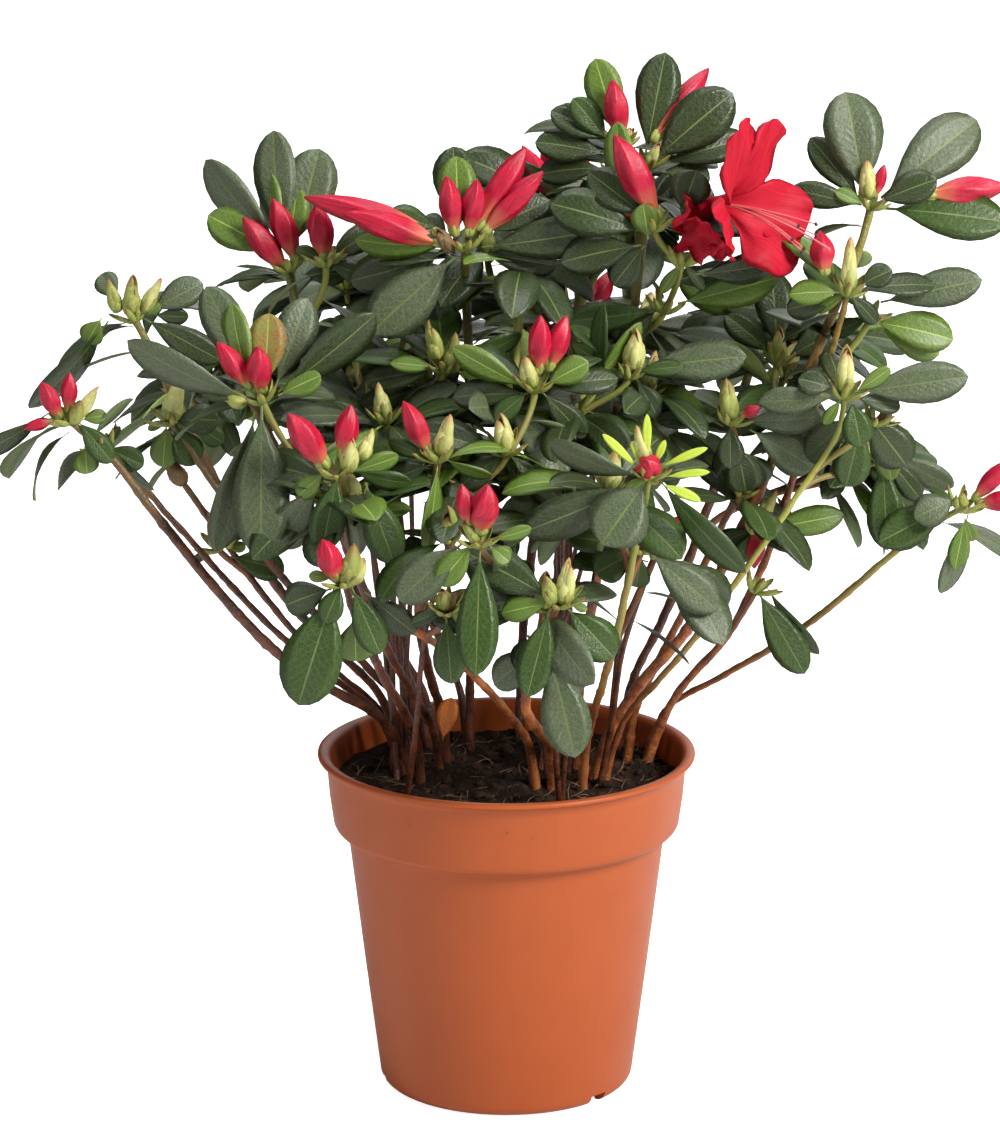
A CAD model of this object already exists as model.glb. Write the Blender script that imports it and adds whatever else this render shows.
"""A potted azalea: a many-stemmed evergreen shrub with red buds and an open bloom, in a plastic nursery pot.

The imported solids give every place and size. Each stem solid is replaced by a limb with bark, each leaf mass
by shoots of leaves and buds that grow on from the limbs, and the pot, the compost and the bloom by finer
pieces of their own. Metres, +Z up, with the plant's front towards -Y.
"""

import logging
import math
from collections.abc import Callable, Iterable, Iterator, Sequence
from contextlib import contextmanager
from dataclasses import dataclass, field
from enum import Enum

import bmesh
import bpy
import numpy as np
from mathutils import Matrix, Vector


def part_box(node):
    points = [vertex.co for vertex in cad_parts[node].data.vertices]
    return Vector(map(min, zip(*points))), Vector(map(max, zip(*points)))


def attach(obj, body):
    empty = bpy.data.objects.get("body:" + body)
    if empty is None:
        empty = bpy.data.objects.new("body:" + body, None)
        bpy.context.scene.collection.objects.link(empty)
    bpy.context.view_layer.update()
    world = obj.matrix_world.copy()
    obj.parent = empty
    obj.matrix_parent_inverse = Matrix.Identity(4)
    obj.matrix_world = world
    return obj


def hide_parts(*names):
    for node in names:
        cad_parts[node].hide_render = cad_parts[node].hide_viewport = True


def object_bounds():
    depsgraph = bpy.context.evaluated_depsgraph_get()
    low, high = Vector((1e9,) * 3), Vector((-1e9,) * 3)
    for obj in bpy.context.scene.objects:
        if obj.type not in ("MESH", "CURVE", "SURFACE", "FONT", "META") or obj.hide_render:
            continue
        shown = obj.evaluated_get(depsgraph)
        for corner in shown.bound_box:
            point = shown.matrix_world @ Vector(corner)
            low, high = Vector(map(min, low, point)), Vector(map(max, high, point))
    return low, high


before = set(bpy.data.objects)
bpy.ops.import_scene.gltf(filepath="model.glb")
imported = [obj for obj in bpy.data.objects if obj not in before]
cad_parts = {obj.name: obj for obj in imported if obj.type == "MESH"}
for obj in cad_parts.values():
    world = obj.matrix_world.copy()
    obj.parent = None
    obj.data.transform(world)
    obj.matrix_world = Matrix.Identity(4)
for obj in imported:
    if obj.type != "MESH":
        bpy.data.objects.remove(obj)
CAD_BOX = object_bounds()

log = logging.getLogger("azalea")

MM = 0.001
BODY = "root"
GOLDEN_ANGLE = math.pi * (3 - math.sqrt(5))
UP = Vector((0, 0, 1))
FRONT = Vector((0, -0.966, 0.259))  # towards a viewer who stands before the plant and looks slightly down
TINY = 1e-4  # how near two places are when they count as the same
ROW_ASIDE = 4  # how far the finished rows of a shape are set aside while the others are shaped
COLUMN_ASIDE = 2  # and its finished columns
SHAPE_MAP = "shape"  # the UV map that lies along a leaf, a petal or a bud
HALF_BLOOM = "half_bloom"


# ---------------------------------------------------------------- modelling helpers


def deselect() -> None:
    """Leaves nothing selected."""
    bpy.ops.object.select_all(action="DESELECT")


def activate(obj: bpy.types.Object) -> None:
    """Makes one object the only selected one and the active one.

    Args:
        obj: The object to work on.
    """
    deselect()
    obj.select_set(True)
    bpy.context.view_layer.objects.active = obj


@contextmanager
def editing(obj: bpy.types.Object) -> Iterator[bmesh.types.BMesh]:
    """Edit mode on one object, with nothing selected at first.

    Args:
        obj: The mesh object to edit.

    Returns:
        The edit mesh, for choosing what the operators act on.
    """
    activate(obj)
    bpy.ops.object.mode_set(mode="EDIT")
    bpy.ops.mesh.select_mode(type="VERT")
    bpy.ops.mesh.select_all(action="DESELECT")
    yield bmesh.from_edit_mesh(obj.data)
    bpy.ops.object.mode_set(mode="OBJECT")


def choose(edit: bmesh.types.BMesh, test: Callable[[Vector], bool]) -> None:
    """Selects the vertices whose place passes a test, with the edges and faces between them.

    Args:
        edit: The edit mesh.
        test: Says whether a place is wanted.
    """
    bpy.ops.mesh.select_all(action="DESELECT")
    for vertex in edit.verts:
        if test(vertex.co):
            vertex.select = True
    edit.select_flush_mode()


def keep_modifiers(obj: bpy.types.Object) -> None:
    """Applies all modifiers of an object, in order."""
    activate(obj)
    for modifier in list(obj.modifiers):
        bpy.ops.object.modifier_apply(modifier=modifier.name)


def settle(obj: bpy.types.Object) -> None:
    """Puts an object's place, turn and scale into its mesh."""
    activate(obj)
    bpy.ops.object.transform_apply(location=True, rotation=True, scale=True)


def smooth_by_angle(obj: bpy.types.Object, degrees: float) -> None:
    """Shades an object smooth, with sharp edges past an angle.

    Args:
        obj: The piece to shade.
        degrees: The angle past which an edge stays sharp.
    """
    activate(obj)
    bpy.ops.object.shade_smooth_by_angle(angle=math.radians(degrees))


def select_whole() -> None:
    """Selects all of the mesh that is being edited."""
    bpy.ops.mesh.select_all(action="SELECT")


def merge_doubles(threshold: float) -> None:
    """Merges the corners of the mesh being edited that lie together, and turns its faces outwards."""
    select_whole()
    bpy.ops.mesh.remove_doubles(threshold=threshold)
    bpy.ops.mesh.normals_make_consistent(inside=False)


def new_uv_map(mesh: bpy.types.Mesh, place_on: Callable[[Vector], tuple[float, float]]) -> None:
    """Gives a mesh one UV map in place of those it has.

    Args:
        mesh: The mesh.
        place_on: Says where on the map a place lies.
    """
    for name in [layer.name for layer in mesh.uv_layers]:
        mesh.uv_layers.remove(mesh.uv_layers[name])
    layer = mesh.uv_layers.new(name=SHAPE_MAP)
    for loop in mesh.loops:
        layer.data[loop.index].uv = place_on(mesh.vertices[loop.vertex_index].co)


def dress(obj: bpy.types.Object, *materials: bpy.types.Material) -> None:
    """Gives an object its materials, in slot order."""
    obj.data.materials.clear()
    for material in materials:
        obj.data.materials.append(material)


def relief_texture(name: str, size: float) -> bpy.types.Texture:
    """A cloudy texture for Displace modifiers.

    Args:
        name: The texture's name.
        size: How large its lumps are, in metres.

    Returns:
        The texture.
    """
    texture = bpy.data.textures.new(name, "CLOUDS")
    texture.noise_scale = size
    return texture


def displace(
    obj: bpy.types.Object, texture: bpy.types.Texture, strength: float, middle: float = 0.5,
    direction: str = "NORMAL", group: str = "",
) -> None:
    """Adds a Displace modifier that moves a surface in and out by a texture.

    Args:
        obj: The piece.
        texture: The relief.
        strength: How far it moves between the texture's darkest and lightest, in metres.
        middle: The brightness that doesn't move.
        direction: The way it moves.
        group: The vertex group that it moves, or nothing for all.
    """
    modifier = obj.modifiers.new("relief", "DISPLACE")
    modifier.texture = texture
    modifier.texture_coords = "LOCAL"
    modifier.strength = strength
    modifier.mid_level = middle
    modifier.direction = direction
    modifier.vertex_group = group


@dataclass
class Pattern:
    """A small shape that is modelled once and then copied many times into joined meshes."""

    points: np.ndarray
    corners: np.ndarray
    sizes: np.ndarray
    slots: np.ndarray
    marks: np.ndarray

    @classmethod
    def of(cls, obj: bpy.types.Object) -> "Pattern":
        """Reads a modelled object as arrays and removes it.

        Args:
            obj: The object, with its faces' material slots and its UV map as they should be.

        Returns:
            The shape.
        """
        mesh = obj.data
        points = np.empty(len(mesh.vertices) * 3, np.float64)
        corners = np.empty(len(mesh.loops), np.int32)
        sizes = np.empty(len(mesh.polygons), np.int32)
        slots = np.empty(len(mesh.polygons), np.int32)
        marks = np.zeros(len(mesh.loops) * 2, np.float64)
        mesh.vertices.foreach_get("co", points)
        mesh.loops.foreach_get("vertex_index", corners)
        mesh.polygons.foreach_get("loop_total", sizes)
        mesh.polygons.foreach_get("material_index", slots)
        if mesh.uv_layers:
            mesh.uv_layers[0].data.foreach_get("uv", marks)
        bpy.data.objects.remove(obj)
        return cls(points.reshape(-1, 3), corners, sizes, slots, marks.reshape(-1, 2))


@dataclass
class Batch:
    """Many copies of patterns, joined into one piece."""

    points: list[np.ndarray] = field(default_factory=list)
    corners: list[np.ndarray] = field(default_factory=list)
    sizes: list[np.ndarray] = field(default_factory=list)
    slots: list[np.ndarray] = field(default_factory=list)
    marks: list[np.ndarray] = field(default_factory=list)
    count: int = 0
    stands_for: set[str] = field(default_factory=set)

    def add(self, pattern: Pattern, points: np.ndarray) -> None:
        """Adds one copy of a pattern.

        Args:
            pattern: The shape whose faces the copy has.
            points: The copy's own vertex places.
        """
        self.points.append(points)
        self.corners.append(pattern.corners + self.count)
        self.sizes.append(pattern.sizes)
        self.slots.append(pattern.slots)
        self.marks.append(pattern.marks)
        self.count += len(points)

    def piece(self, name: str, materials: Sequence[bpy.types.Material]) -> bpy.types.Object:
        """Joins all copies into one mesh object.

        Args:
            name: The piece's name.
            materials: Its materials, in slot order.

        Returns:
            The piece, shaded smooth.
        """
        mesh = bpy.data.meshes.new(name)
        points = np.concatenate(self.points)
        corners = np.concatenate(self.corners)
        sizes = np.concatenate(self.sizes)
        mesh.vertices.add(len(points))
        mesh.vertices.foreach_set("co", points.ravel())
        mesh.loops.add(len(corners))
        mesh.loops.foreach_set("vertex_index", corners)
        mesh.polygons.add(len(sizes))
        mesh.polygons.foreach_set("loop_start", np.concatenate(([0], np.cumsum(sizes)[:-1])).astype(np.int32))
        for material in materials:
            mesh.materials.append(material)
        mesh.polygons.foreach_set("material_index", np.concatenate(self.slots))
        mesh.uv_layers.new(name=SHAPE_MAP).data.foreach_set("uv", np.concatenate(self.marks).ravel())
        mesh.update(calc_edges=True)
        mesh.shade_smooth()
        piece = bpy.data.objects.new(name, mesh)
        bpy.context.scene.collection.objects.link(piece)
        return piece


def basis(along: Vector, face: Vector) -> tuple[Vector, Vector, Vector]:
    """Three square directions from a main one and a rough second one.

    Args:
        along: The direction to keep.
        face: The direction that the third one leans towards.

    Returns:
        Across, along and face, each of length 1.
    """
    along = along.normalized()
    square = face - along * face.dot(along)
    if square.length < TINY:
        square = along.orthogonal()
    square.normalize()
    return along.cross(square), along, square


def finish_piece(piece: bpy.types.Object, nodes: Iterable[str]) -> None:
    """Ties a finished piece to the frame and reports it.

    Args:
        piece: The piece, in place.
        nodes: The solids that it stands for.
    """
    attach(piece, BODY)
    nodes = sorted(nodes)
    if nodes:
        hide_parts(*nodes)
    log.info("%s: %d faces, for %d solids", piece.name, len(piece.data.polygons), len(nodes))


# ---------------------------------------------------------------- finishes


class Weave:
    """One node tree, a material's or a group's, with short calls to fill it."""

    def __init__(self, tree: bpy.types.NodeTree) -> None:
        """Starts on a tree.

        Args:
            tree: The tree to fill.
        """
        self.tree = tree

    def add(self, kind: str, **settings: object) -> bpy.types.Node:
        """Adds a node and sets its properties.

        Args:
            kind: The node's type, without its ShaderNode prefix.
            settings: Its properties by name.

        Returns:
            The node.
        """
        node = self.tree.nodes.new("ShaderNode" + kind)
        for name, value in settings.items():
            setattr(node, name, value)
        return node

    def join(self, source: bpy.types.NodeSocket, target: bpy.types.NodeSocket) -> None:
        """Links an output to an input."""
        self.tree.links.new(source, target)

    def noise(self, vector: bpy.types.NodeSocket, scale: object, detail: float = 3.0) -> bpy.types.NodeSocket:
        """A noise value between 0 and 1.

        Args:
            vector: Where it reads.
            scale: Its scale, as a number or an output.
            detail: Its layers of detail.

        Returns:
            Its value.
        """
        node = self.add("TexNoise")
        self.join(vector, node.inputs["Vector"])
        self.feed(scale, node.inputs["Scale"])
        node.inputs["Detail"].default_value = detail
        return node.outputs["Fac"]

    def math(self, operation: str, *values: object) -> bpy.types.NodeSocket:
        """A Math node on numbers or outputs.

        Args:
            operation: The Math node's operation.
            values: Its inputs in order.

        Returns:
            Its result.
        """
        node = self.add("Math", operation=operation)
        for socket, value in zip(node.inputs, values):
            self.feed(value, socket)
        return node.outputs[0]

    def blend(self, share: object, low: object, high: object) -> bpy.types.NodeSocket:
        """A colour between two colours.

        Args:
            share: 0 for the low colour and 1 for the high one.
            low: A colour or an output.
            high: A colour or an output.

        Returns:
            The colour.
        """
        node = self.add("Mix", data_type="RGBA", clamp_factor=True)
        self.feed(share, node.inputs[0])
        self.feed(low, node.inputs[6])
        self.feed(high, node.inputs[7])
        return node.outputs[2]

    def steps(self, value: bpy.types.NodeSocket, low: float, high: float) -> bpy.types.NodeSocket:
        """A value spread so that low gives 0 and high gives 1.

        Args:
            value: The value to spread.
            low: What becomes 0.
            high: What becomes 1.

        Returns:
            The spread value, held between 0 and 1.
        """
        node = self.add("MapRange")
        self.join(value, node.inputs["Value"])
        node.inputs["From Min"].default_value = low
        node.inputs["From Max"].default_value = high
        return node.outputs["Result"]

    def feed(self, value: object, socket: bpy.types.NodeSocket) -> None:
        """Gives an input a number, a colour or an output."""
        if isinstance(value, bpy.types.NodeSocket):
            self.join(value, socket)
        elif isinstance(value, tuple) and len(value) == 3 and socket.type == "RGBA":
            socket.default_value = (*value, 1.0)
        else:
            socket.default_value = value


Colour = tuple[float, float, float]


class SocketKind(Enum):
    """The kinds of value that an effect takes in or puts out."""

    NUMBER = "NodeSocketFloat"
    COLOUR = "NodeSocketColor"
    VECTOR = "NodeSocketVector"


class Effect:
    """A shader node group that several materials share."""

    def __init__(self, name: str, takes: dict[str, SocketKind], gives: dict[str, SocketKind]) -> None:
        """Makes the group with its named inputs and outputs.

        Args:
            name: The group's name.
            takes: Its inputs.
            gives: Its outputs.
        """
        self.tree = bpy.data.node_groups.new(name, "ShaderNodeTree")
        for socket, kind in takes.items():
            self.tree.interface.new_socket(name=socket, in_out="INPUT", socket_type=kind.value)
        for socket, kind in gives.items():
            self.tree.interface.new_socket(name=socket, in_out="OUTPUT", socket_type=kind.value)
        self.weave = Weave(self.tree)
        self.taken = self.tree.nodes.new("NodeGroupInput").outputs
        self.given = self.tree.nodes.new("NodeGroupOutput").inputs

    def use(self, weave: Weave, **values: object) -> bpy.types.bpy_prop_collection:
        """Places the group in a tree.

        Args:
            weave: The tree.
            values: The group's inputs by name, with _ for a space.

        Returns:
            The group node's outputs.
        """
        node = weave.tree.nodes.new("ShaderNodeGroup")
        node.node_tree = self.tree
        for name, value in values.items():
            weave.feed(value, node.inputs[name.replace("_", " ")])
        return node.outputs


def drift_effect() -> Effect:
    """Slow and fine changes of a colour: Colour turns towards Other by two noises, as far as Strength says.

    Returns:
        The effect, with the outputs Colour and Mask.
    """
    number, colour, vector = SocketKind.NUMBER, SocketKind.COLOUR, SocketKind.VECTOR
    takes = {"Vector": vector, "Colour": colour, "Other": colour, "Scale": number, "Strength": number}
    effect = Effect("colour_drift", takes, {"Colour": colour, "Mask": number})
    weave, taken, given = effect.weave, effect.taken, effect.given
    slow = weave.noise(taken["Vector"], taken["Scale"])
    fine = weave.noise(taken["Vector"], weave.math("MULTIPLY", taken["Scale"], 7.0), 2.0)
    both = weave.math("MULTIPLY_ADD", fine, 0.4, weave.math("MULTIPLY", slow, 0.6))
    mask = weave.math("MULTIPLY", weave.steps(both, 0.35, 0.65), taken["Strength"])
    weave.join(weave.blend(mask, taken["Colour"], taken["Other"]), given["Colour"])
    weave.join(mask, given["Mask"])
    return effect


def grain_effect() -> Effect:
    """A fine relief of two noises, for plastic, bark, petals and leaves.

    Returns:
        The effect, with the output Height.
    """
    number, vector = SocketKind.NUMBER, SocketKind.VECTOR
    takes = {"Vector": vector, "Coarse": number, "Fine": number, "Share": number}
    effect = Effect("fine_grain", takes, {"Height": number})
    weave, taken = effect.weave, effect.taken
    coarse = weave.noise(taken["Vector"], taken["Coarse"], 2.0)
    fine = weave.noise(taken["Vector"], taken["Fine"], 2.0)
    height = weave.math("MULTIPLY_ADD", fine, taken["Share"], coarse)
    weave.join(height, effect.given["Height"])
    return effect


def speck_effect() -> Effect:
    """Small scattered specks, such as hairs on old leaves, lenticels on bark and fibres in peat.

    Returns:
        The effect, with the output Mask.
    """
    number, vector = SocketKind.NUMBER, SocketKind.VECTOR
    effect = Effect("specks", {"Vector": vector, "Scale": number, "Size": number}, {"Mask": number})
    weave, taken = effect.weave, effect.taken
    cells = weave.add("TexVoronoi", feature="F1")
    weave.join(taken["Vector"], cells.inputs["Vector"])
    weave.join(taken["Scale"], cells.inputs["Scale"])
    weave.join(weave.math("LESS_THAN", cells.outputs["Distance"], taken["Size"]), effect.given["Mask"])
    return effect


def vein_effect() -> Effect:
    """A leaf's veins: slanting side veins with a fine net between them. U runs across it and V along it.

    Returns:
        The effect, with the outputs Mask, which is 1 on a vein, and Swell, which is high between the veins.
    """
    number, vector = SocketKind.NUMBER, SocketKind.VECTOR
    takes = {"Map": vector, "Count": number, "Width": number}
    effect = Effect("leaf_veins", takes, {"Mask": number, "Swell": number})
    weave, taken = effect.weave, effect.taken
    split = weave.add("SeparateXYZ")
    weave.join(taken["Map"], split.inputs[0])
    wander = weave.noise(taken["Map"], 6.0, 2.0)
    out = weave.math("ABSOLUTE", weave.math("SUBTRACT", split.outputs["X"], 0.5))
    slant = weave.math("SUBTRACT", split.outputs["Y"], weave.math("MULTIPLY", out, 0.55))
    bent = weave.math("MULTIPLY_ADD", wander, 0.06, slant)
    wave = weave.math("PINGPONG", weave.math("MULTIPLY", bent, taken["Count"]), 0.5)
    side = weave.math("LESS_THAN", wave, taken["Width"])
    join = weave.add("CombineXYZ")
    weave.join(weave.math("MULTIPLY", split.outputs["X"], 9.0), join.inputs["X"])
    weave.join(weave.math("MULTIPLY", split.outputs["Y"], 22.0), join.inputs["Y"])
    net = weave.add("TexVoronoi", feature="DISTANCE_TO_EDGE")
    weave.join(join.outputs[0], net.inputs["Vector"])
    net.inputs["Scale"].default_value = 1.0
    mesh = weave.math("LESS_THAN", net.outputs["Distance"], weave.math("MULTIPLY", taken["Width"], 1.3))
    weave.join(weave.math("MAXIMUM", side, weave.math("MULTIPLY", mesh, 0.55)), effect.given["Mask"])
    weave.join(weave.math("MULTIPLY_ADD", wave, 0.5, net.outputs["Distance"]), effect.given["Swell"])
    return effect


def streak_effect() -> Effect:
    """Lengthwise streaks, for petals and buds. U runs round and V along.

    Returns:
        The effect, with the output Mask.
    """
    number, vector = SocketKind.NUMBER, SocketKind.VECTOR
    effect = Effect("streaks", {"Map": vector, "Count": number}, {"Mask": number})
    weave, taken = effect.weave, effect.taken
    split = weave.add("SeparateXYZ")
    weave.join(taken["Map"], split.inputs[0])
    join = weave.add("CombineXYZ")
    weave.join(weave.math("MULTIPLY", split.outputs["X"], taken["Count"]), join.inputs["X"])
    weave.join(weave.math("MULTIPLY", split.outputs["Y"], 1.6), join.inputs["Y"])
    lines = weave.noise(join.outputs[0], 1.0, 3.0)
    weave.join(weave.steps(lines, 0.42, 0.66), effect.given["Mask"])
    return effect


@dataclass
class Effects:
    """The node groups that the materials share."""

    drift: Effect = field(default_factory=drift_effect)
    grain: Effect = field(default_factory=grain_effect)
    specks: Effect = field(default_factory=speck_effect)
    veins: Effect = field(default_factory=vein_effect)
    streaks: Effect = field(default_factory=streak_effect)


@dataclass(frozen=True)
class Layer:
    """A further colour that comes in between two values: heights in millimetres, or shares along a shape."""

    colour: Colour
    start: float
    end: float


@dataclass(frozen=True)
class Finish:
    """A surface with a drifting colour, drifting roughness and a fine relief.

    specks are scale, size and colour; veins are count, width and colour; streaks are count and colour. upper
    is a colour for greater heights and tip one for an end of each shape. glow is light that only the camera
    sees.
    """

    name: str
    colour: Colour
    other: Colour
    scale: float = 60.0
    strength: float = 0.5
    roughness: float = 0.5
    roughness_swing: float = 0.12
    coarse: float = 300.0
    fine: float = 1500.0
    share: float = 0.5
    bump: float = 0.15
    bump_mm: float = 0.3
    subsurface: float = 0.0
    specular: float = 0.5
    glow: float = 0.0
    specks: tuple[float, float, Colour] | None = None
    veins: tuple[float, float, Colour] | None = None
    streaks: tuple[float, Colour] | None = None
    upper: Layer | None = None
    tip: Layer | None = None

    def paint(
        self, weave: Weave, effects: Effects, place: bpy.types.NodeSocket
    ) -> tuple[bpy.types.NodeSocket, bpy.types.NodeSocket, bpy.types.bpy_prop_collection | None]:
        """Lays the colours over each other.

        Args:
            weave: The material's tree.
            effects: The shared node groups.
            place: The object coordinates.

        Returns:
            The colour, the drift's mask and the veins' outputs, if it has any.
        """
        drift = effects.drift.use(
            weave, Vector=place, Colour=self.colour, Other=self.other, Scale=self.scale,
            Strength=self.strength,
        )
        colour, vein = drift["Colour"], None
        if self.upper:
            height = weave.add("SeparateXYZ")
            weave.join(place, height.inputs[0])
            rough = weave.math("MULTIPLY_ADD", weave.noise(place, 60.0, 2.0), 40 * MM, height.outputs["Z"])
            mask = weave.steps(rough, self.upper.start * MM, self.upper.end * MM)
            colour = weave.blend(mask, colour, self.upper.colour)
        if self.streaks or self.veins or self.tip:
            along = weave.add("UVMap", uv_map=SHAPE_MAP).outputs["UV"]
        if self.streaks:
            mask = effects.streaks.use(weave, Map=along, Count=self.streaks[0])["Mask"]
            colour = weave.blend(weave.math("MULTIPLY", mask, 0.75), colour, self.streaks[1])
        if self.veins:
            vein = effects.veins.use(weave, Map=along, Count=self.veins[0], Width=self.veins[1])
            colour = weave.blend(weave.math("MULTIPLY", vein["Mask"], 0.5), colour, self.veins[2])
        if self.specks:
            mask = effects.specks.use(weave, Vector=place, Scale=self.specks[0], Size=self.specks[1])["Mask"]
            colour = weave.blend(weave.math("MULTIPLY", mask, 0.7), colour, self.specks[2])
        if self.tip:
            split = weave.add("SeparateXYZ")
            weave.join(along, split.inputs[0])
            mask = weave.steps(split.outputs["Y"], self.tip.start, self.tip.end)
            colour = weave.blend(mask, colour, self.tip.colour)
        return colour, drift["Mask"], vein

    def make(self, effects: Effects) -> bpy.types.Material:
        """Builds the material.

        Args:
            effects: The shared node groups.

        Returns:
            The material.
        """
        material = bpy.data.materials.new(self.name)
        material.use_nodes = True
        weave = Weave(material.node_tree)
        shader = material.node_tree.nodes["Principled BSDF"]
        place = weave.add("TexCoord").outputs["Object"]
        colour, drift, vein = self.paint(weave, effects, place)
        weave.join(colour, shader.inputs["Base Color"])
        rough = weave.math("MULTIPLY_ADD", drift, self.roughness_swing, self.roughness)
        weave.join(rough, shader.inputs["Roughness"])
        grain = effects.grain.use(weave, Vector=place, Coarse=self.coarse, Fine=self.fine, Share=self.share)
        height = grain["Height"]
        if vein:
            height = weave.math("MULTIPLY_ADD", vein["Mask"], -0.5, height)
            height = weave.math("MULTIPLY_ADD", vein["Swell"], 0.7, height)
        bump = weave.add("Bump")
        bump.inputs["Strength"].default_value = self.bump
        bump.inputs["Distance"].default_value = self.bump_mm * MM
        weave.join(height, bump.inputs["Height"])
        weave.join(bump.outputs["Normal"], shader.inputs["Normal"])
        shader.inputs["Specular IOR Level"].default_value = self.specular
        shader.inputs["Subsurface Weight"].default_value = self.subsurface
        shader.inputs["Subsurface Scale"].default_value = 1.5 * MM
        if self.glow:
            seen = weave.add("LightPath").outputs["Is Camera Ray"]
            shader.inputs["Emission Color"].default_value = (1, 1, 1, 1)
            weave.join(weave.math("MULTIPLY", seen, self.glow), shader.inputs["Emission Strength"])
        return material


class Tint(Enum):
    """The colours that the leaves come in."""

    DARK = "dark"
    GREY = "grey"
    MID = "mid"
    FRESH = "fresh"
    BRONZE = "bronze"
    LIME = "lime"
    DRY = "dry"


LEAF_FINISHES = {
    Tint.DARK: Finish(
        "leaf_dark", (0.017, 0.030, 0.007), (0.033, 0.050, 0.014), scale=90, roughness=0.33, specular=0.42,
        coarse=500, fine=2600, bump=0.55, specks=(2400, 0.20, (0.090, 0.120, 0.070)),
        veins=(13, 0.035, (0.075, 0.105, 0.040)),
    ),
    Tint.GREY: Finish(
        "leaf_grey", (0.041, 0.061, 0.022), (0.070, 0.091, 0.040), scale=90, roughness=0.42, specular=0.5,
        coarse=500, fine=2600, bump=0.6, specks=(2400, 0.25, (0.180, 0.215, 0.150)),
        veins=(13, 0.035, (0.130, 0.165, 0.085)),
    ),
    Tint.MID: Finish(
        "leaf_mid", (0.022, 0.050, 0.007), (0.040, 0.074, 0.011), scale=80, roughness=0.33, specular=0.38,
        coarse=500, fine=2600, bump=0.5, specks=(2400, 0.16, (0.090, 0.130, 0.050)),
        veins=(13, 0.035, (0.090, 0.135, 0.035)),
    ),
    Tint.FRESH: Finish(
        "leaf_fresh", (0.060, 0.120, 0.008), (0.105, 0.175, 0.018), scale=80, roughness=0.40,
        coarse=500, fine=2400, bump=0.4, subsurface=0.05, veins=(11, 0.035, (0.190, 0.260, 0.055)),
    ),
    Tint.BRONZE: Finish(
        "leaf_bronze", (0.150, 0.180, 0.028), (0.230, 0.060, 0.020), scale=70, strength=0.9, roughness=0.42,
        coarse=500, fine=2400, bump=0.35, veins=(11, 0.035, (0.290, 0.260, 0.070)),
    ),
    Tint.LIME: Finish(
        "leaf_lime", (0.340, 0.470, 0.022), (0.480, 0.590, 0.060), scale=120, roughness=0.45,
        coarse=600, fine=2600, bump=0.25, subsurface=0.1, veins=(9, 0.03, (0.560, 0.640, 0.150)),
    ),
    Tint.DRY: Finish(
        "leaf_dry", (0.680, 0.170, 0.016), (0.420, 0.110, 0.016), scale=220, strength=0.9, roughness=0.55,
        coarse=500, fine=2400, bump=0.5, veins=(9, 0.045, (0.150, 0.050, 0.018)),
    ),
}

MIDRIB = Finish("leaf_midrib", (0.085, 0.120, 0.030), (0.150, 0.190, 0.055), scale=140, roughness=0.5)
MIDRIB_FRESH = Finish(
    "leaf_midrib_fresh", (0.240, 0.320, 0.055), (0.310, 0.380, 0.090), scale=140, roughness=0.5,
)
UNDERSIDE = Finish(
    "leaf_underside", (0.085, 0.120, 0.042), (0.125, 0.160, 0.066), scale=100, roughness=0.62, bump=0.4,
    veins=(13, 0.045, (0.200, 0.240, 0.110)),
)
UNDERSIDE_FRESH = Finish(
    "leaf_underside_fresh", (0.200, 0.275, 0.060), (0.270, 0.345, 0.095), scale=100, roughness=0.6, bump=0.35,
    veins=(11, 0.045, (0.360, 0.430, 0.160)),
)
BARK = Finish(
    "bark_dark", (0.018, 0.0055, 0.004), (0.190, 0.052, 0.020), scale=170, strength=0.85, roughness=0.34,
    coarse=420, fine=1900, share=0.6, bump=0.9, bump_mm=0.5, specks=(900, 0.15, (0.260, 0.160, 0.090)),
    upper=Layer((0.150, 0.140, 0.026), 200, 275),
)
BARK_BRIGHT = Finish(
    "bark_orange_brown", (0.095, 0.022, 0.009), (0.440, 0.140, 0.034), scale=170, strength=0.95,
    roughness=0.34, coarse=420, fine=1900, share=0.6, bump=0.9, bump_mm=0.5,
    specks=(900, 0.15, (0.420, 0.240, 0.100)), upper=Layer((0.180, 0.175, 0.030), 220, 300),
)
BARK_OLIVE = Finish(
    "bark_olive", (0.110, 0.030, 0.012), (0.380, 0.120, 0.032), scale=170, strength=0.9, roughness=0.38,
    coarse=420, fine=1900, share=0.6, bump=0.8, bump_mm=0.4, specks=(900, 0.15, (0.300, 0.200, 0.090)),
    upper=Layer((0.270, 0.280, 0.050), 145, 215),
)
TWIG_BARK = Finish(
    "twig_bark", (0.130, 0.060, 0.020), (0.220, 0.060, 0.024), scale=190, strength=0.9, roughness=0.5,
    coarse=600, fine=2200, bump=0.6, specks=(1100, 0.15, (0.320, 0.230, 0.110)),
    upper=Layer((0.190, 0.200, 0.036), 205, 250),
)
COMPOST = Finish(
    "peat_compost", (0.006, 0.0036, 0.0025), (0.034, 0.017, 0.010), scale=200, strength=0.9, roughness=0.9,
    specular=0.15, coarse=700, fine=2600, share=0.8, bump=1.0, bump_mm=0.8,
    specks=(1100, 0.12, (0.150, 0.085, 0.045)),
)
CRUMB = Finish(
    "peat_crumb", (0.007, 0.0045, 0.003), (0.055, 0.027, 0.015), scale=240, strength=0.9, roughness=0.9,
    specular=0.15, coarse=900, fine=3000, share=0.7, bump=0.8, bump_mm=0.5,
)
FIBRE = Finish("peat_fibre", (0.090, 0.048, 0.022), (0.230, 0.140, 0.070), scale=200, roughness=0.8, bump=0.3)
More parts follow.
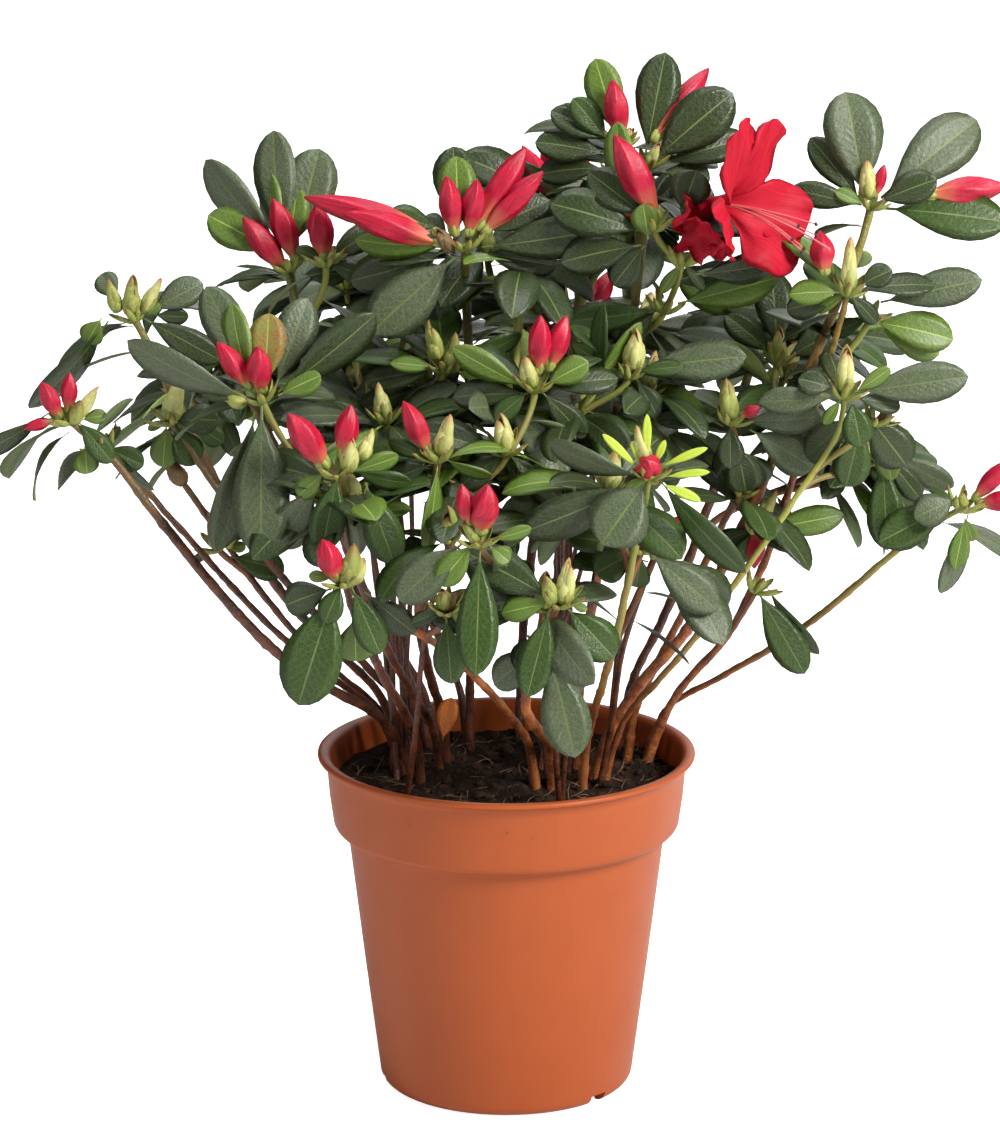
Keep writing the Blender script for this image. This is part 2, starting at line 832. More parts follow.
POT_PLASTIC = Finish(
    "terracotta_plastic", (0.346, 0.070, 0.0135), (0.306, 0.058, 0.011), scale=14, strength=0.6,
    roughness=0.42, roughness_swing=0.10, coarse=160, fine=1600, share=0.35, bump=0.10, bump_mm=0.15,
    specular=0.3, specks=(260, 0.035, (0.500, 0.150, 0.070)),
)
PETAL = Finish(
    "petal_scarlet", (0.370, 0.003, 0.016), (0.270, 0.002, 0.010), scale=110, strength=0.7, roughness=0.55,
    coarse=260, fine=1800, bump=0.35, specular=0.18, subsurface=0.10, streaks=(26, (0.460, 0.010, 0.030)),
)
BUD_RED = Finish(
    "bud_crimson", (0.490, 0.008, 0.042), (0.340, 0.003, 0.020), scale=150, strength=0.8, roughness=0.40,
    coarse=300, fine=1600, bump=0.6, specular=0.35, subsurface=0.05, streaks=(22, (0.190, 0.001, 0.010)),
    tip=Layer((0.560, 0.190, 0.085), 0.40, 0.06),
)
CALYX = Finish(
    "calyx_green", (0.300, 0.330, 0.055), (0.420, 0.420, 0.110), scale=200, strength=0.8, roughness=0.55,
    coarse=500, fine=2000, bump=0.25,
)
SCALE_GREEN = Finish(
    "bud_scale_green", (0.220, 0.260, 0.040), (0.360, 0.370, 0.100), scale=260, strength=0.9, roughness=0.5,
    coarse=600, fine=2200, bump=0.4, streaks=(18, (0.130, 0.170, 0.030)),
    tip=Layer((0.200, 0.100, 0.030), 0.72, 1.0),
)
SCALE_PALE = Finish(
    "bud_scale_pale", (0.520, 0.510, 0.210), (0.400, 0.420, 0.130), scale=240, strength=0.8, roughness=0.5,
    coarse=600, fine=2200, bump=0.4, streaks=(18, (0.330, 0.330, 0.090)),
    tip=Layer((0.330, 0.170, 0.060), 0.76, 1.0),
)
SCALE_BROWN = Finish(
    "bud_scale_brown", (0.150, 0.080, 0.026), (0.240, 0.160, 0.066), scale=240, strength=0.9, roughness=0.65,
    coarse=600, fine=2200, bump=0.4, streaks=(18, (0.070, 0.036, 0.014)),
)
STAMEN = Finish(
    "stamen_pink", (0.600, 0.080, 0.100), (0.680, 0.240, 0.220), scale=200, roughness=0.5, bump=0.1,
)
ANTHER = Finish(
    "anther_dark", (0.030, 0.009, 0.012), (0.080, 0.026, 0.022), scale=600, roughness=0.75, bump=0.4,
)
FLOOR = Finish(
    "studio_floor", (0.80, 0.80, 0.80), (0.78, 0.78, 0.78), scale=2, roughness=0.8, bump=0.0, glow=0.85,
)


class Paints:
    """All materials, made once and handed out by finish."""

    def __init__(self) -> None:
        """Makes the shared effects."""
        self.effects = Effects()
        self.made: dict[str, bpy.types.Material] = {}

    def of(self, finish: Finish) -> bpy.types.Material:
        """The material of a finish.

        Args:
            finish: The finish.

        Returns:
            Its material, which is made on first use.
        """
        if finish.name not in self.made:
            self.made[finish.name] = finish.make(self.effects)
        return self.made[finish.name]


# ---------------------------------------------------------------- the plant's design


class BudKind(Enum):
    """What a bud has come to."""

    RED = "red"  # petals showing, still furled
    GREEN = "green"  # green scales, not yet open
    PALE = "pale"  # cream scales
    BROWN = "brown"  # dry brown scales
    RING = "ring"  # no bud, but the small bracts round a shoot's foot


@dataclass(frozen=True)
class Leaf:
    """One leaf of a shoot, as a viewer before the plant sees it.

    clock is its direction in degrees clockwise from straight up, long and wide are its seen size in
    millimetres, and toward is how far it points at the viewer, from -1 to 1. start is where it starts, in
    millimetres right of and above the shoot's heart. droop is how far it bends down along its length, in
    radians.
    """

    clock: float
    long: float
    wide: float
    tint: Tint
    toward: float | None = None
    start: tuple[float, float] = (0.0, 0.0)
    droop: float = 0.45


@dataclass(frozen=True)
class Bud:
    """One bud of a shoot: clock and long as for a leaf, wide in millimetres."""

    clock: float
    long: float
    kind: BudKind = BudKind.RED
    wide: float = 0.0
    toward: float = 0.05
    start: tuple[float, float] = (0.0, 0.0)


@dataclass(frozen=True)
class Shoot:
    """A leafy tip: its heart lies in a leaf mass at a share of the mass's half size from the middle.

    more is how many further leaves the branching rule adds, and low how many older leaves hang on the stem
    below it. limb names the stem that carries it, if one does.
    """

    mass: str
    at: tuple[float, float, float]
    leaves: tuple[Leaf, ...] = ()
    buds: tuple[Bud, ...] = ()
    more: int = 4
    low: int = 2
    limb: str = ""
    name: str = ""


D, G, M, F, B, N = Tint.DARK, Tint.GREY, Tint.MID, Tint.FRESH, Tint.BRONZE, Tint.LIME
RED, GREEN, PALE, BROWN = BudKind.RED, BudKind.GREEN, BudKind.PALE, BudKind.BROWN

FRONT_SHOOTS = (
    Shoot("west_crest", (0.17, 0.0, -0.07), limb="west_crest", more=3, low=2, leaves=(
        Leaf(217, 44, 8, D, 0.0, (-8, -1), 0.3), Leaf(213, 15, 8, F, 0.1, (-10, 0)),
        Leaf(325, 17, 8, G, -0.4, (-5, 5)), Leaf(60, 24, 10, G, -0.1, (5, 2)),
        Leaf(95, 17, 5, D, 0.0, (6, 1)), Leaf(118, 30, 10, D, 0.1, (3, 0)), Leaf(45, 9, 4, F, 0.3, (4, 1)),
    ), buds=(
        Bud(345, 11, GREEN, 5.5, start=(-5, 2)), Bud(5, 13, GREEN, 6.5, 0.2, (-1, 1)),
        Bud(28, 12, PALE, 5, start=(3, 2)),
    )),
    Shoot("west_low", (-0.15, 0.0, 0.10), limb="west_low", more=2, low=1, leaves=(
        Leaf(236, 36, 6, D, 0.0, (-6, 2), 0.3), Leaf(75, 12, 5, F, 0.1, (4, 0)),
        Leaf(138, 18, 8, M, 0.3, (3, 0)), Leaf(176, 17, 8, F, 0.2, (5, -8)),
    ), buds=(
        Bud(335, 14, RED, 6, 0.2, (-2, 0)), Bud(4, 13, RED, 5.5, start=(0, 2)),
        Bud(255, 10, RED, 4, start=(-4, 0)), Bud(35, 12, PALE, 5, start=(3, 1)),
        Bud(15, 9, GREEN, 5, 0.4, (2, -1)),
    )),
    Shoot("west_low", (0.24, 0.2, -0.40), more=1, low=1, leaves=(
        Leaf(112, 13, 8, M, 0.2), Leaf(143, 20, 4, D, 0.1, (2, 0)), Leaf(35, 8, 3, D, 0.0),
    )),
    Shoot("northwest", (0.28, -0.26, -0.80), limb="northwest", more=2, low=3, leaves=(
        Leaf(315, 42, 12, G, -0.1, (-2, 6)), Leaf(351, 43, 14, G, -0.15, (-1, 6)),
        Leaf(14, 38, 17, G, -0.15, (2, 6)), Leaf(302, 30, 13, F, 0.0, (-3, 4)),
        Leaf(343, 30, 8, F, -0.1, (-2, 6)), Leaf(8, 25, 10, F, -0.05, (0, 4)),
        Leaf(85, 18, 8, D, 0.2, (4, -2)),
    ), buds=(Bud(323, 23, RED, 8, 0.1, (0, -2)), Bud(340, 22, RED, 8, 0.0, (3, 1)))),
    Shoot("northwest", (0.78, -0.45, -0.69), more=3, low=2, leaves=(
        Leaf(300, 10, 5, M, 0.2), Leaf(105, 16, 8, D, 0.2), Leaf(55, 20, 9, D, -0.1),
    ), buds=(Bud(352, 19, RED, 8.5, 0.1), Bud(70, 7, GREEN, 4), Bud(30, 7, PALE, 4))),
    Shoot("west_bud", (0.06, -0.06, -0.13), more=3, low=3, leaves=(
        Leaf(292, 44, 5.5, G, 0.15, (-2, -1), 0.3), Leaf(333, 38, 13, G, -0.2, (-2, 4)),
        Leaf(342, 30, 9, F, -0.05, (-3, 3)), Leaf(3, 26, 12, B, 0.0, (1, 3)),
        Leaf(20, 33, 13, G, -0.2, (4, 3)), Leaf(53, 43, 10, D, 0.0, (5, 2), 0.15),
        Leaf(60, 19, 9, F, 0.2, (5, 1)), Leaf(180, 44, 18, G, 0.35, (0, -2), 0.25),
        Leaf(192, 50, 13, G, 0.1, (-2, -4), 0.25), Leaf(290, 20, 8, D, 0.0, (-5, 0)),
    ), buds=(
        Bud(325, 18, RED, 7, 0.1, (-3, 3)), Bud(357, 17, RED, 8, 0.3, (0, 1)),
        Bud(300, 12, GREEN, 6, -0.2, (-5, -2)),
    )),
    Shoot("left_bud", (0.01, -0.07, 0.23), limb="left_mid", more=2, low=3, leaves=(
        Leaf(193, 23, 11, M, 0.3, (1, 0)), Leaf(160, 32, 12, M, 0.2, (9, -3)),
        Leaf(213, 32, 13, G, -0.1, (-5, -4)), Leaf(110, 23, 5, M, 0.1, (5, 1)),
        Leaf(75, 20, 6, F, 0.0, (4, 0)), Leaf(230, 14, 7, F, 0.0, (-3, 0)),
    ), buds=(
        Bud(327, 22, RED, 9, 0.2, (-2, 1)), Bud(10, 17, RED, 7.5, 0.0, (2, 4)),
        Bud(5, 13, PALE, 6, 0.2, (4, 0)), Bud(20, 10, PALE, 5, -0.2, (8, 4)),
    )),
    Shoot("front_left", (0.33, 0.03, 0.42), limb="left_front", more=0, low=0, leaves=(
        Leaf(198, 39, 19, M, 0.2, (-3, -2), 0.2), Leaf(156, 23, 10, M, 0.3, (2, -1)),
        Leaf(180, 26, 12, F, -0.1, (3, -10)), Leaf(252, 20, 11, D, 0.0, (-4, -2)),
        Leaf(132, 27, 9, D, 0.0, (6, -3)), Leaf(285, 11, 4, F, 0.1, (-4, 1)),
        Leaf(205, 12, 8, M, 0.4, (-1, 0)),
    ), buds=(
        Bud(342, 15, RED, 8, 0.2, (-2, 0)), Bud(8, 15, GREEN, 7, 0.2, (1, -1)),
        Bud(20, 9, PALE, 5, 0.1, (3, 0)),
    )),
    Shoot("centre_bud", (-0.55, -0.22, 0.18), limb="left_thick", more=3, low=3, leaves=(
        Leaf(186, 28, 6, F, 0.25, (0, -1), 0.1), Leaf(290, 16, 5, M, 0.0, (-2, 0)),
        Leaf(120, 18, 4, F, 0.0, (2, 0)), Leaf(250, 18, 8, D, -0.1, (-2, -2)),
    ), buds=(
        Bud(334, 19, RED, 7, 0.1, (-2, 1)), Bud(12, 15, PALE, 6.5, 0.2, (1, 1)), Bud(300, 7, GREEN, 4, 0.2),
    )),
    Shoot("centre_bud", (0.25, 0.31, 0.16), more=4, low=2, leaves=(
        Leaf(235, 18, 9, D, 0.1), Leaf(130, 24, 9, D, 0.1),
    ), buds=(Bud(352, 13, PALE, 7, 0.1),)),
    Shoot("front_mid", (0.16, -0.12, 0.42), more=0, low=0, leaves=(
        Leaf(182, 37, 13, M, 0.3, (0, -2), 0.15), Leaf(222, 17, 9, F, 0.3, (-2, 0)),
        Leaf(230, 30, 13, G, 0.1, (-5, 0)), Leaf(125, 10, 7, F, 0.3, (3, -1)),
        Leaf(80, 16, 4, F, 0.0, (3, 1)), Leaf(150, 22, 10, D, -0.2, (3, -4)),
    ), buds=(
        Bud(8, 17, RED, 9, 0.2, (0, 2)), Bud(350, 14, RED, 6, 0.0, (-3, 4)),
        Bud(330, 8, GREEN, 4, 0.2, (-1, 0)),
    )),
    Shoot("front_mid", (-0.40, 0.0, -0.38), more=0, low=0, leaves=(
        Leaf(175, 21, 10, M, 0.3, (0, -2)), Leaf(120, 12, 5, F, 0.1), Leaf(250, 12, 5, D, 0.0),
    ), buds=(Bud(350, 8, GREEN, 5, 0.2), Bud(30, 6, BROWN, 4))),
    Shoot("front_centre", (0.04, -0.04, 0.60), limb="centre_thick", more=0, low=0, leaves=(
        Leaf(195, 28, 11, M, 0.3, (-3, -1), 0.15), Leaf(134, 22, 13, M, 0.3, (2, -1)),
        Leaf(262, 18, 8, F, 0.0, (-3, 0)), Leaf(298, 32, 14, D, -0.2, (-2, 1)),
        Leaf(100, 8, 3, F, 0.3, (3, 0)),
    ), buds=(Bud(6, 15, PALE, 6, 0.1, (1, 0)), Bud(345, 10, GREEN, 5, 0.3, (-2, 0)))),
    Shoot("front_centre", (-0.11, 0.07, 0.10), more=0, low=0, leaves=(
        Leaf(166, 32, 15, G, 0.25, (0, -1), 0.15), Leaf(150, 15, 6, F, 0.1, (4, -2)),
        Leaf(230, 22, 11, G, -0.1, (-3, 0)), Leaf(140, 14, 7, D, -0.1, (2, 0)),
    )),
    Shoot("lime_shoot", (0.12, -0.07, 0.15), limb="centre_bright", more=1, low=1, leaves=(
        Leaf(218, 23, 19, G, 0.35, (-1, -1), 0.2), Leaf(245, 42, 12, D, 0.0, (-3, -2), 0.2),
        Leaf(282, 32, 4, G, 0.0, (-2, 0)), Leaf(141, 40, 8, M, 0.2, (3, -1), 0.25),
        Leaf(0, 19, 2.8, N, 0.2, (-1, 4)), Leaf(22, 12, 2.4, N, 0.2, (1, 3)),
        Leaf(62, 19, 2.8, N, 0.3, (3, 3)), Leaf(74, 17, 2.6, N, 0.4, (4, 0)),
        Leaf(107, 16, 3.2, N, 0.3, (3, -2)), Leaf(318, 19, 2.8, N, 0.2, (-3, 2)),
        Leaf(338, 12, 2.6, N, 0.2, (-2, 3)), Leaf(250, 8, 3, F, 0.3),
    ), buds=(Bud(350, 8, RED, 8, 0.75, (0, 1)), Bud(345, 12, PALE, 5, 0.1, (-1, 4)))),
    Shoot("right_low", (-0.61, -0.25, 0.50), more=0, low=0, leaves=(
        Leaf(127, 29, 13, G, 0.2, (2, -1)), Leaf(133, 34, 14, D, -0.1, (9, -3)),
        Leaf(245, 16, 11, M, 0.1, (-2, -1)), Leaf(280, 24, 9, M, -0.2, (-2, 0)),
        Leaf(190, 14, 8, M, -0.1, (0, -2)),
    ), buds=(Bud(55, 17, RED, 6.5, 0.1, (1, 1)), Bud(10, 13, BROWN, 4.5, 0.0, (0, 0)))),
    Shoot("right_small", (-0.36, -0.24, 0.14), more=1, low=1, leaves=(
        Leaf(78, 28, 9, F, 0.1, (1, 0)), Leaf(250, 14, 7, D, 0.0), Leaf(210, 12, 6, M, 0.2),
        Leaf(110, 15, 6, D, -0.2),
    ), buds=(Bud(28, 14, GREEN, 6, 0.0, (0, 0)), Bud(185, 14, RED, 6, 0.2, (1, 2)))),
    Shoot("right_small", (-0.29, 0.30, -1.35), more=0, low=0, leaves=(
        Leaf(150, 31, 12, M, 0.1, (0, 0), 0.15), Leaf(147, 29, 4, M, 0.0, (3, 1), 0.15),
    )),
    Shoot("right_bud", (-0.37, -0.11, 0.36), limb="right_up", more=3, low=3, leaves=(
        Leaf(88, 28, 8, G, 0.1, (3, 0)), Leaf(275, 23, 8, D, 0.0, (-2, 0)),
        Leaf(180, 14, 9, D, 0.3, (0, -1)), Leaf(168, 24, 12, D, 0.1, (2, -7)),
        Leaf(120, 32, 13, G, -0.1, (6, -3)), Leaf(150, 26, 12, M, -0.2, (3, -9)),
    ), buds=(Bud(354, 15, GREEN, 6.5, 0.1), Bud(60, 7, RED, 4, 0.1, (3, 1)))),
    Shoot("east_inner", (0.16, 0.11, -0.80), more=3, low=3, leaves=(
        Leaf(356, 29, 13, D, -0.1, (0, 3)), Leaf(60, 25, 11, D, 0.0, (2, 1)),
        Leaf(270, 24, 10, D, 0.0, (-1, 0)), Leaf(205, 8, 5, F, 0.4, (-1, -1)),
        Leaf(310, 22, 10, M, -0.2, (-1, 2)), Leaf(110, 14, 9, D, 0.3, (2, 0)),
    ), buds=(Bud(2, 12, GREEN, 6, 0.1),)),
    Shoot("east_mid", (-0.49, -0.04, 0.08), limb="east_thin", more=1, low=1, leaves=(
        Leaf(82, 38, 12, G, 0.1, (3, 1), 0.2), Leaf(56, 16, 5, F, 0.1, (3, 1)),
        Leaf(168, 15, 10, M, 0.4, (2, -1)), Leaf(96, 18, 8, D, 0.0, (3, -1)),
        Leaf(290, 15, 10, D, 0.1, (-3, 2)), Leaf(215, 11, 4, F, 0.2, (-1, -1)),
        Leaf(268, 26, 8, G, 0.1, (-3, -1)),
    ), buds=(Bud(1, 15, PALE, 6.5, 0.1, (0, 1)),)),
    Shoot("east_mid", (-0.15, 0.22, -0.42), more=1, low=1, leaves=(
        Leaf(140, 22, 14, D, 0.1, (-3, 3)), Leaf(192, 22, 12, M, 0.1, (-4, 0)),
        Leaf(165, 22, 8, F, -0.1, (1, 0)), Leaf(225, 26, 11, G, -0.2, (-6, 2)),
    ), buds=(Bud(2, 15, RED, 6, -0.1, (3, 0)), Bud(10, 7, BROWN, 4, 0.1, (3, -1)))),
    Shoot("east_bud", (-0.35, -0.08, 0.08), limb="right_mid", more=2, low=2, leaves=(
        Leaf(274, 18, 9, F, 0.2, (-2, 0)), Leaf(60, 15, 8, D, 0.2, (3, 2)), Leaf(240, 12, 4, F, 0.0),
        Leaf(135, 14, 6, D, 0.1), Leaf(262, 20, 9, D, -0.2, (-3, -3)),
    ), buds=(Bud(1, 17, PALE, 6, 0.1), Bud(352, 14, RED, 8, -0.1, (-7, 5)))),
    Shoot("east_bud", (-0.10, 0.34, -0.44), more=1, low=1, leaves=(
        Leaf(76, 36, 12, G, 0.1, (3, 5), 0.2), Leaf(96, 26, 13, F, 0.15, (0, -1)),
        Leaf(112, 26, 10, F, -0.1, (2, -3)), Leaf(250, 14, 6, M, 0.0),
    )),
    Shoot("northeast", (-0.32, -0.03, -0.51), limb="east_thick", more=0, low=2, leaves=(
        Leaf(350, 36, 19, G, -0.1, (-2, 2)), Leaf(322, 28, 10, D, -0.1, (-3, 1)),
        Leaf(62, 21, 11, D, 0.25, (2, 1)), Leaf(50, 44, 18, G, -0.1, (3, 2), 0.7),
        Leaf(93, 42, 17, M, 0.1, (4, -1), 0.3), Leaf(285, 25, 8, D, 0.15, (-3, 0)),
        Leaf(300, 12, 5, F, 0.2, (-2, 0)), Leaf(75, 14, 8, M, -0.3, (8, 2)),
    ), buds=(
        Bud(358, 13, PALE, 6, 0.1, (-1, 2)), Bud(15, 11, RED, 4, 0.0, (1, 2)),
        Bud(86, 27, RED, 9, -0.2, (16, 3)),
    )),
    Shoot("crown", (-0.20, 0.06, 0.13), more=2, low=3, leaves=(
        Leaf(344, 27, 12, F, -0.1, (-1, 1)), Leaf(322, 20, 9, M, 0.1, (-4, 0)),
        Leaf(302, 22, 6, F, -0.1, (-6, 2)), Leaf(285, 26, 11, D, 0.1, (-4, -4)),
        Leaf(270, 26, 10, D, 0.1, (-5, -8)), Leaf(300, 24, 10, D, 0.0, (-3, 0)),
    ), buds=(Bud(351, 20, RED, 8, 0.1, (0, 0)), Bud(15, 6, PALE, 4, 0.3, (1, -1)))),
    Shoot("crown", (0.07, -0.01, -0.10), limb="crown", more=3, low=3, leaves=(
        Leaf(11, 35, 14, D, -0.15, (-1, 3)), Leaf(46, 34, 17, D, 0.15, (1, 1)),
        Leaf(70, 33, 12, D, -0.1, (4, 0)), Leaf(250, 24, 12, D, 0.1, (-4, -3)),
        Leaf(95, 20, 10, M, 0.0, (4, -2)),
    ), buds=(Bud(40, 30, RED, 8, -0.40, (1, 7)), Bud(25, 8, PALE, 4, 0.2))),
    Shoot("crown", (0.12, -0.68, -0.62), more=2, low=3, leaves=(
        Leaf(292, 32, 15, D, 0.15, (-3, -2)), Leaf(352, 11, 9, F, 0.4, (-2, -4)),
        Leaf(18, 20, 13, D, 0.2, (8, 4)), Leaf(262, 30, 13, D, 0.1, (-4, -6)),
        Leaf(340, 34, 8, F, -0.2, (-5, 0)), Leaf(220, 22, 11, D, 0.2, (-3, -6)),
        Leaf(310, 26, 12, D, 0.0, (-2, 2)),
    ), buds=(Bud(333, 30, RED, 10, 0.1, (1, 2)), Bud(80, 12, RED, 5, -0.3, (-14, 0)))),
    Shoot("crown", (0.24, -0.16, -1.60), more=1, low=1, leaves=(
        Leaf(75, 36, 11, F, 0.1, (4, 2), 0.25), Leaf(262, 30, 9, M, 0.1, (-2, 0)),
        Leaf(80, 24, 7, D, -0.2, (2, 8)), Leaf(230, 18, 7, D, 0.0, (-2, 0)),
    )),
    Shoot("crown", (0.40, -0.61, -1.01), more=0, low=1, name=HALF_BLOOM, leaves=(
        Leaf(5, 22, 11, D, -0.2, (4, 6)), Leaf(88, 30, 8, D, -0.2, (4, -4)), Leaf(215, 12, 4, F, 0.1),
        Leaf(140, 12, 4, D, 0.0),
    ), buds=(Bud(300, 6, GREEN, 5), Bud(60, 6, GREEN, 5))),
    Shoot("north_crest", (-0.07, -0.16, -0.15), limb="north", more=2, low=4, leaves=(
        Leaf(356, 31, 14, D, -0.2, (-2, 5)), Leaf(358, 28, 12, F, -0.05, (-2, 4)),
        Leaf(81, 41, 12, D, 0.15, (5, 0), 0.3), Leaf(231, 38, 18, G, 0.25, (-3, -3), 0.3),
        Leaf(268, 34, 6, F, 0.1, (-4, 1), 0.4), Leaf(285, 26, 10, M, 0.1, (-8, 6)),
        Leaf(62, 30, 11, D, -0.1, (5, 4)), Leaf(248, 40, 12, D, -0.1, (-5, -1)),
        Leaf(100, 30, 10, D, -0.1, (4, -2)), Leaf(305, 16, 9, G, 0.1, (-5, 3)),
    ), buds=(
        Bud(352, 20, RED, 7.5, 0.15, (-3, 3)), Bud(8, 19, RED, 7.5, 0.15, (1, 3)),
        Bud(44, 27, RED, 8, 0.0, (5, 4)), Bud(32, 30, RED, 9, -0.2, (3, 5)),
        Bud(288, 33, RED, 9, 0.1, (-6, 1)), Bud(284, 44, RED, 9, -0.1, (-7, 4)),
        Bud(325, 10, BROWN, 5, 0.3, (-4, -1)), Bud(345, 13, PALE, 5, -0.2, (-4, 7)),
    )),
    Shoot("twin_bud", (0.09, -0.06, -0.40), more=4, low=4, leaves=(
        Leaf(298, 28, 7, F, 0.1, (-2, 0), 0.2), Leaf(58, 18, 9, F, 0.2, (3, 1)),
        Leaf(235, 15, 7, M, 0.3, (-2, -1)), Leaf(135, 22, 9, D, 0.1, (2, -1)),
        Leaf(80, 26, 10, D, -0.1, (3, 0)), Leaf(270, 26, 10, D, -0.1, (-2, -2)),
    ), buds=(
        Bud(2, 19, RED, 7.5, 0.1, (1, 4)), Bud(18, 18, RED, 7, -0.1, (4, 5)),
        Bud(348, 13, PALE, 6, 0.2, (-1, 0)),
    )),
    Shoot("north_inner", (-0.40, -0.17, -0.52), more=4, low=4, leaves=(
        Leaf(80, 36, 13, G, 0.15, (3, 2), 0.25), Leaf(74, 16, 6, M, 0.4, (2, 1)),
        Leaf(298, 20, 6, F, 0.0, (-2, 0)), Leaf(352, 28, 6, M, 0.1, (-8, -6)),
        Leaf(48, 24, 5, F, 0.1, (-12, -2)), Leaf(150, 16, 8, D, 0.1, (2, -1)),
        Leaf(215, 24, 11, G, 0.1, (-4, -3)), Leaf(180, 22, 10, G, 0.0, (1, -4)),
    ), buds=(Bud(3, 16, PALE, 7.5, 0.15, (1, 1)),)),
    Shoot("pale_bud", (0.85, 0.0, -0.21), more=3, low=3, leaves=(
        Leaf(110, 30, 8, F, 0.2, (2, 0), 0.2), Leaf(282, 17, 6, F, 0.1, (-2, 0)),
        Leaf(265, 26, 11, D, -0.1, (-3, -1)), Leaf(75, 26, 6, M, 0.0, (2, 2)),
        Leaf(215, 26, 12, D, 0.0, (-2, -2)),
    ), buds=(Bud(345, 13, GREEN, 6, 0.1, (-2, 3)), Bud(5, 14, GREEN, 6, 0.2, (2, -1)))),
    Shoot("pale_bud", (0.55, 0.44, -0.60), more=4, low=3, leaves=(
        Leaf(250, 24, 10, D, 0.1), Leaf(175, 24, 9, D, 0.1),
    ), buds=(Bud(2, 9, GREEN, 5.5, 0.1),)),
    Shoot("west_mid", (-0.58, 0.08, 0.41), limb="west_mid", more=1, low=2, leaves=(
        Leaf(186, 15, 9, F, 0.2, (-1, -1)), Leaf(150, 16, 10, M, 0.2, (1, -1)),
        Leaf(82, 15, 10, D, 0.3, (1, 0)), Leaf(122, 18, 7, M, 0.0, (7, -1)), Leaf(250, 8, 3, F, 0.0),
    ), buds=(Bud(14, 15, PALE, 7.5, 0.1, (0, 0)),)),
    Shoot("west_mid", (0.32, 0.2, -2.4), more=0, low=0, leaves=(
        Leaf(100, 22, 10, M, 0.1, (4, -3)), Leaf(85, 9, 4, F, 0.1, (3, 0)), Leaf(240, 10, 3, D, 0.0),
        Leaf(60, 12, 3, D, 0.0),
    ), buds=(Bud(348, 12, BROWN, 5, 0.1), Bud(20, 8, GREEN, 4.5, 0.2, (3, 0)))),
    Shoot("east_tip", (0.38, -0.12, 0.13), limb="far_east", more=0, low=1, leaves=(
        Leaf(246, 27, 13, M, 0.15, (-3, 1), 0.3), Leaf(255, 14, 11, G, 0.4, (-2, 3)),
        Leaf(190, 19, 7, F, 0.2, (1, -3)), Leaf(192, 29, 8, G, 0.0, (2, -2), 0.3),
        Leaf(160, 12, 5, F, 0.0, (1, -3)), Leaf(300, 12, 3, M, 0.0, (-2, 2)),
    ), buds=(
        Bud(40, 18, RED, 6, 0.1, (3, 2)), Bud(78, 16, RED, 6.5, 0.2, (4, 1)), Bud(10, 6, GREEN, 4, 0.1),
    )),
    Shoot("east_tip", (-0.67, 0.26, 0.78), more=0, low=0, leaves=(
        Leaf(176, 30, 12, M, 0.15, (0, -1), 0.2), Leaf(140, 20, 8, D, 0.1, (1, -1)),
        Leaf(121, 26, 8, G, 0.0, (2, 0), 0.4), Leaf(140, 12, 5, F, 0.0, (1, 0)),
    )),
)


@dataclass(frozen=True)
class Grove:
    """Shoots that the branching rule sets in a leaf mass, spread round its outer side.

    red is the chance that a shoot has red buds, middle shifts them all, as shares of the mass's half size,
    and head_mm is the room that stays free under the mass's top.
    """

    mass: str
    shoots: int
    leaves: int = 9
    limb: str = ""
    red: float = 0.45
    middle: tuple[float, float, float] = (0.0, 0.1, -0.15)
    head_mm: float = 38.0


GROVES = (
    Grove("back_west", 3, limb="back_west", red=0.2, head_mm=50),
    Grove("back_northwest", 5, red=0.0, head_mm=60),
    Grove("back_crown", 6, limb="back_crown", red=0.2, head_mm=50),
    Grove("back_east", 5, limb="back_east", red=0.2, head_mm=55),
    Grove("back_corner", 4, red=0.0),
    Grove("back_low", 6, limb="back_mid", red=0.5),
    Grove("back_hollow", 6, limb="back_hollow", red=0.5),
    Grove("heart_west", 7, leaves=8, red=0.0, middle=(0, 0, -0.5)),
    Grove("heart_east", 7, leaves=8, red=0.0, middle=(0, 0, -0.5)),
    Grove("east_inner", 1, leaves=7, red=0.0, middle=(0, 0.6, -0.3)),
    Grove("north_inner", 1, leaves=7, red=0.0, middle=(0, 0.6, -0.3)),
    Grove("twin_bud", 2, leaves=7, red=0.0, middle=(0, 0.6, -0.5)),
    Grove("pale_bud", 2, leaves=7, red=0.0, middle=(0, 0.6, -0.5)),
    Grove("right_bud", 1, leaves=7, red=0.0, middle=(0, 0.6, -0.3)),
    Grove("north_crest", 2, leaves=7, red=0.0, middle=(0, 0.6, -0.5)),
    Grove("crown", 2, leaves=7, red=0.0, middle=(0, 0.6, -0.7)),
    Grove("centre_bud", 2, leaves=6, red=0.0, middle=(0, 0.8, -0.7), head_mm=12),
    Grove("left_bud", 2, leaves=6, red=0.0, middle=(0, 0.8, -0.7), head_mm=12),
    Grove("front_mid", 1, leaves=5, red=0.0, middle=(0, 0.9, 0.0), head_mm=8),
    Grove("front_centre", 1, leaves=5, red=0.0, middle=(0, 0.9, 0.0), head_mm=8),
    Grove("lime_shoot", 1, leaves=6, red=0.0, middle=(0, 0.9, -0.6), head_mm=12),
    Grove("right_low", 1, leaves=6, red=0.0, middle=(-0.3, 0.9, -0.1), head_mm=8),
)


# ---------------------------------------------------------------- leaves


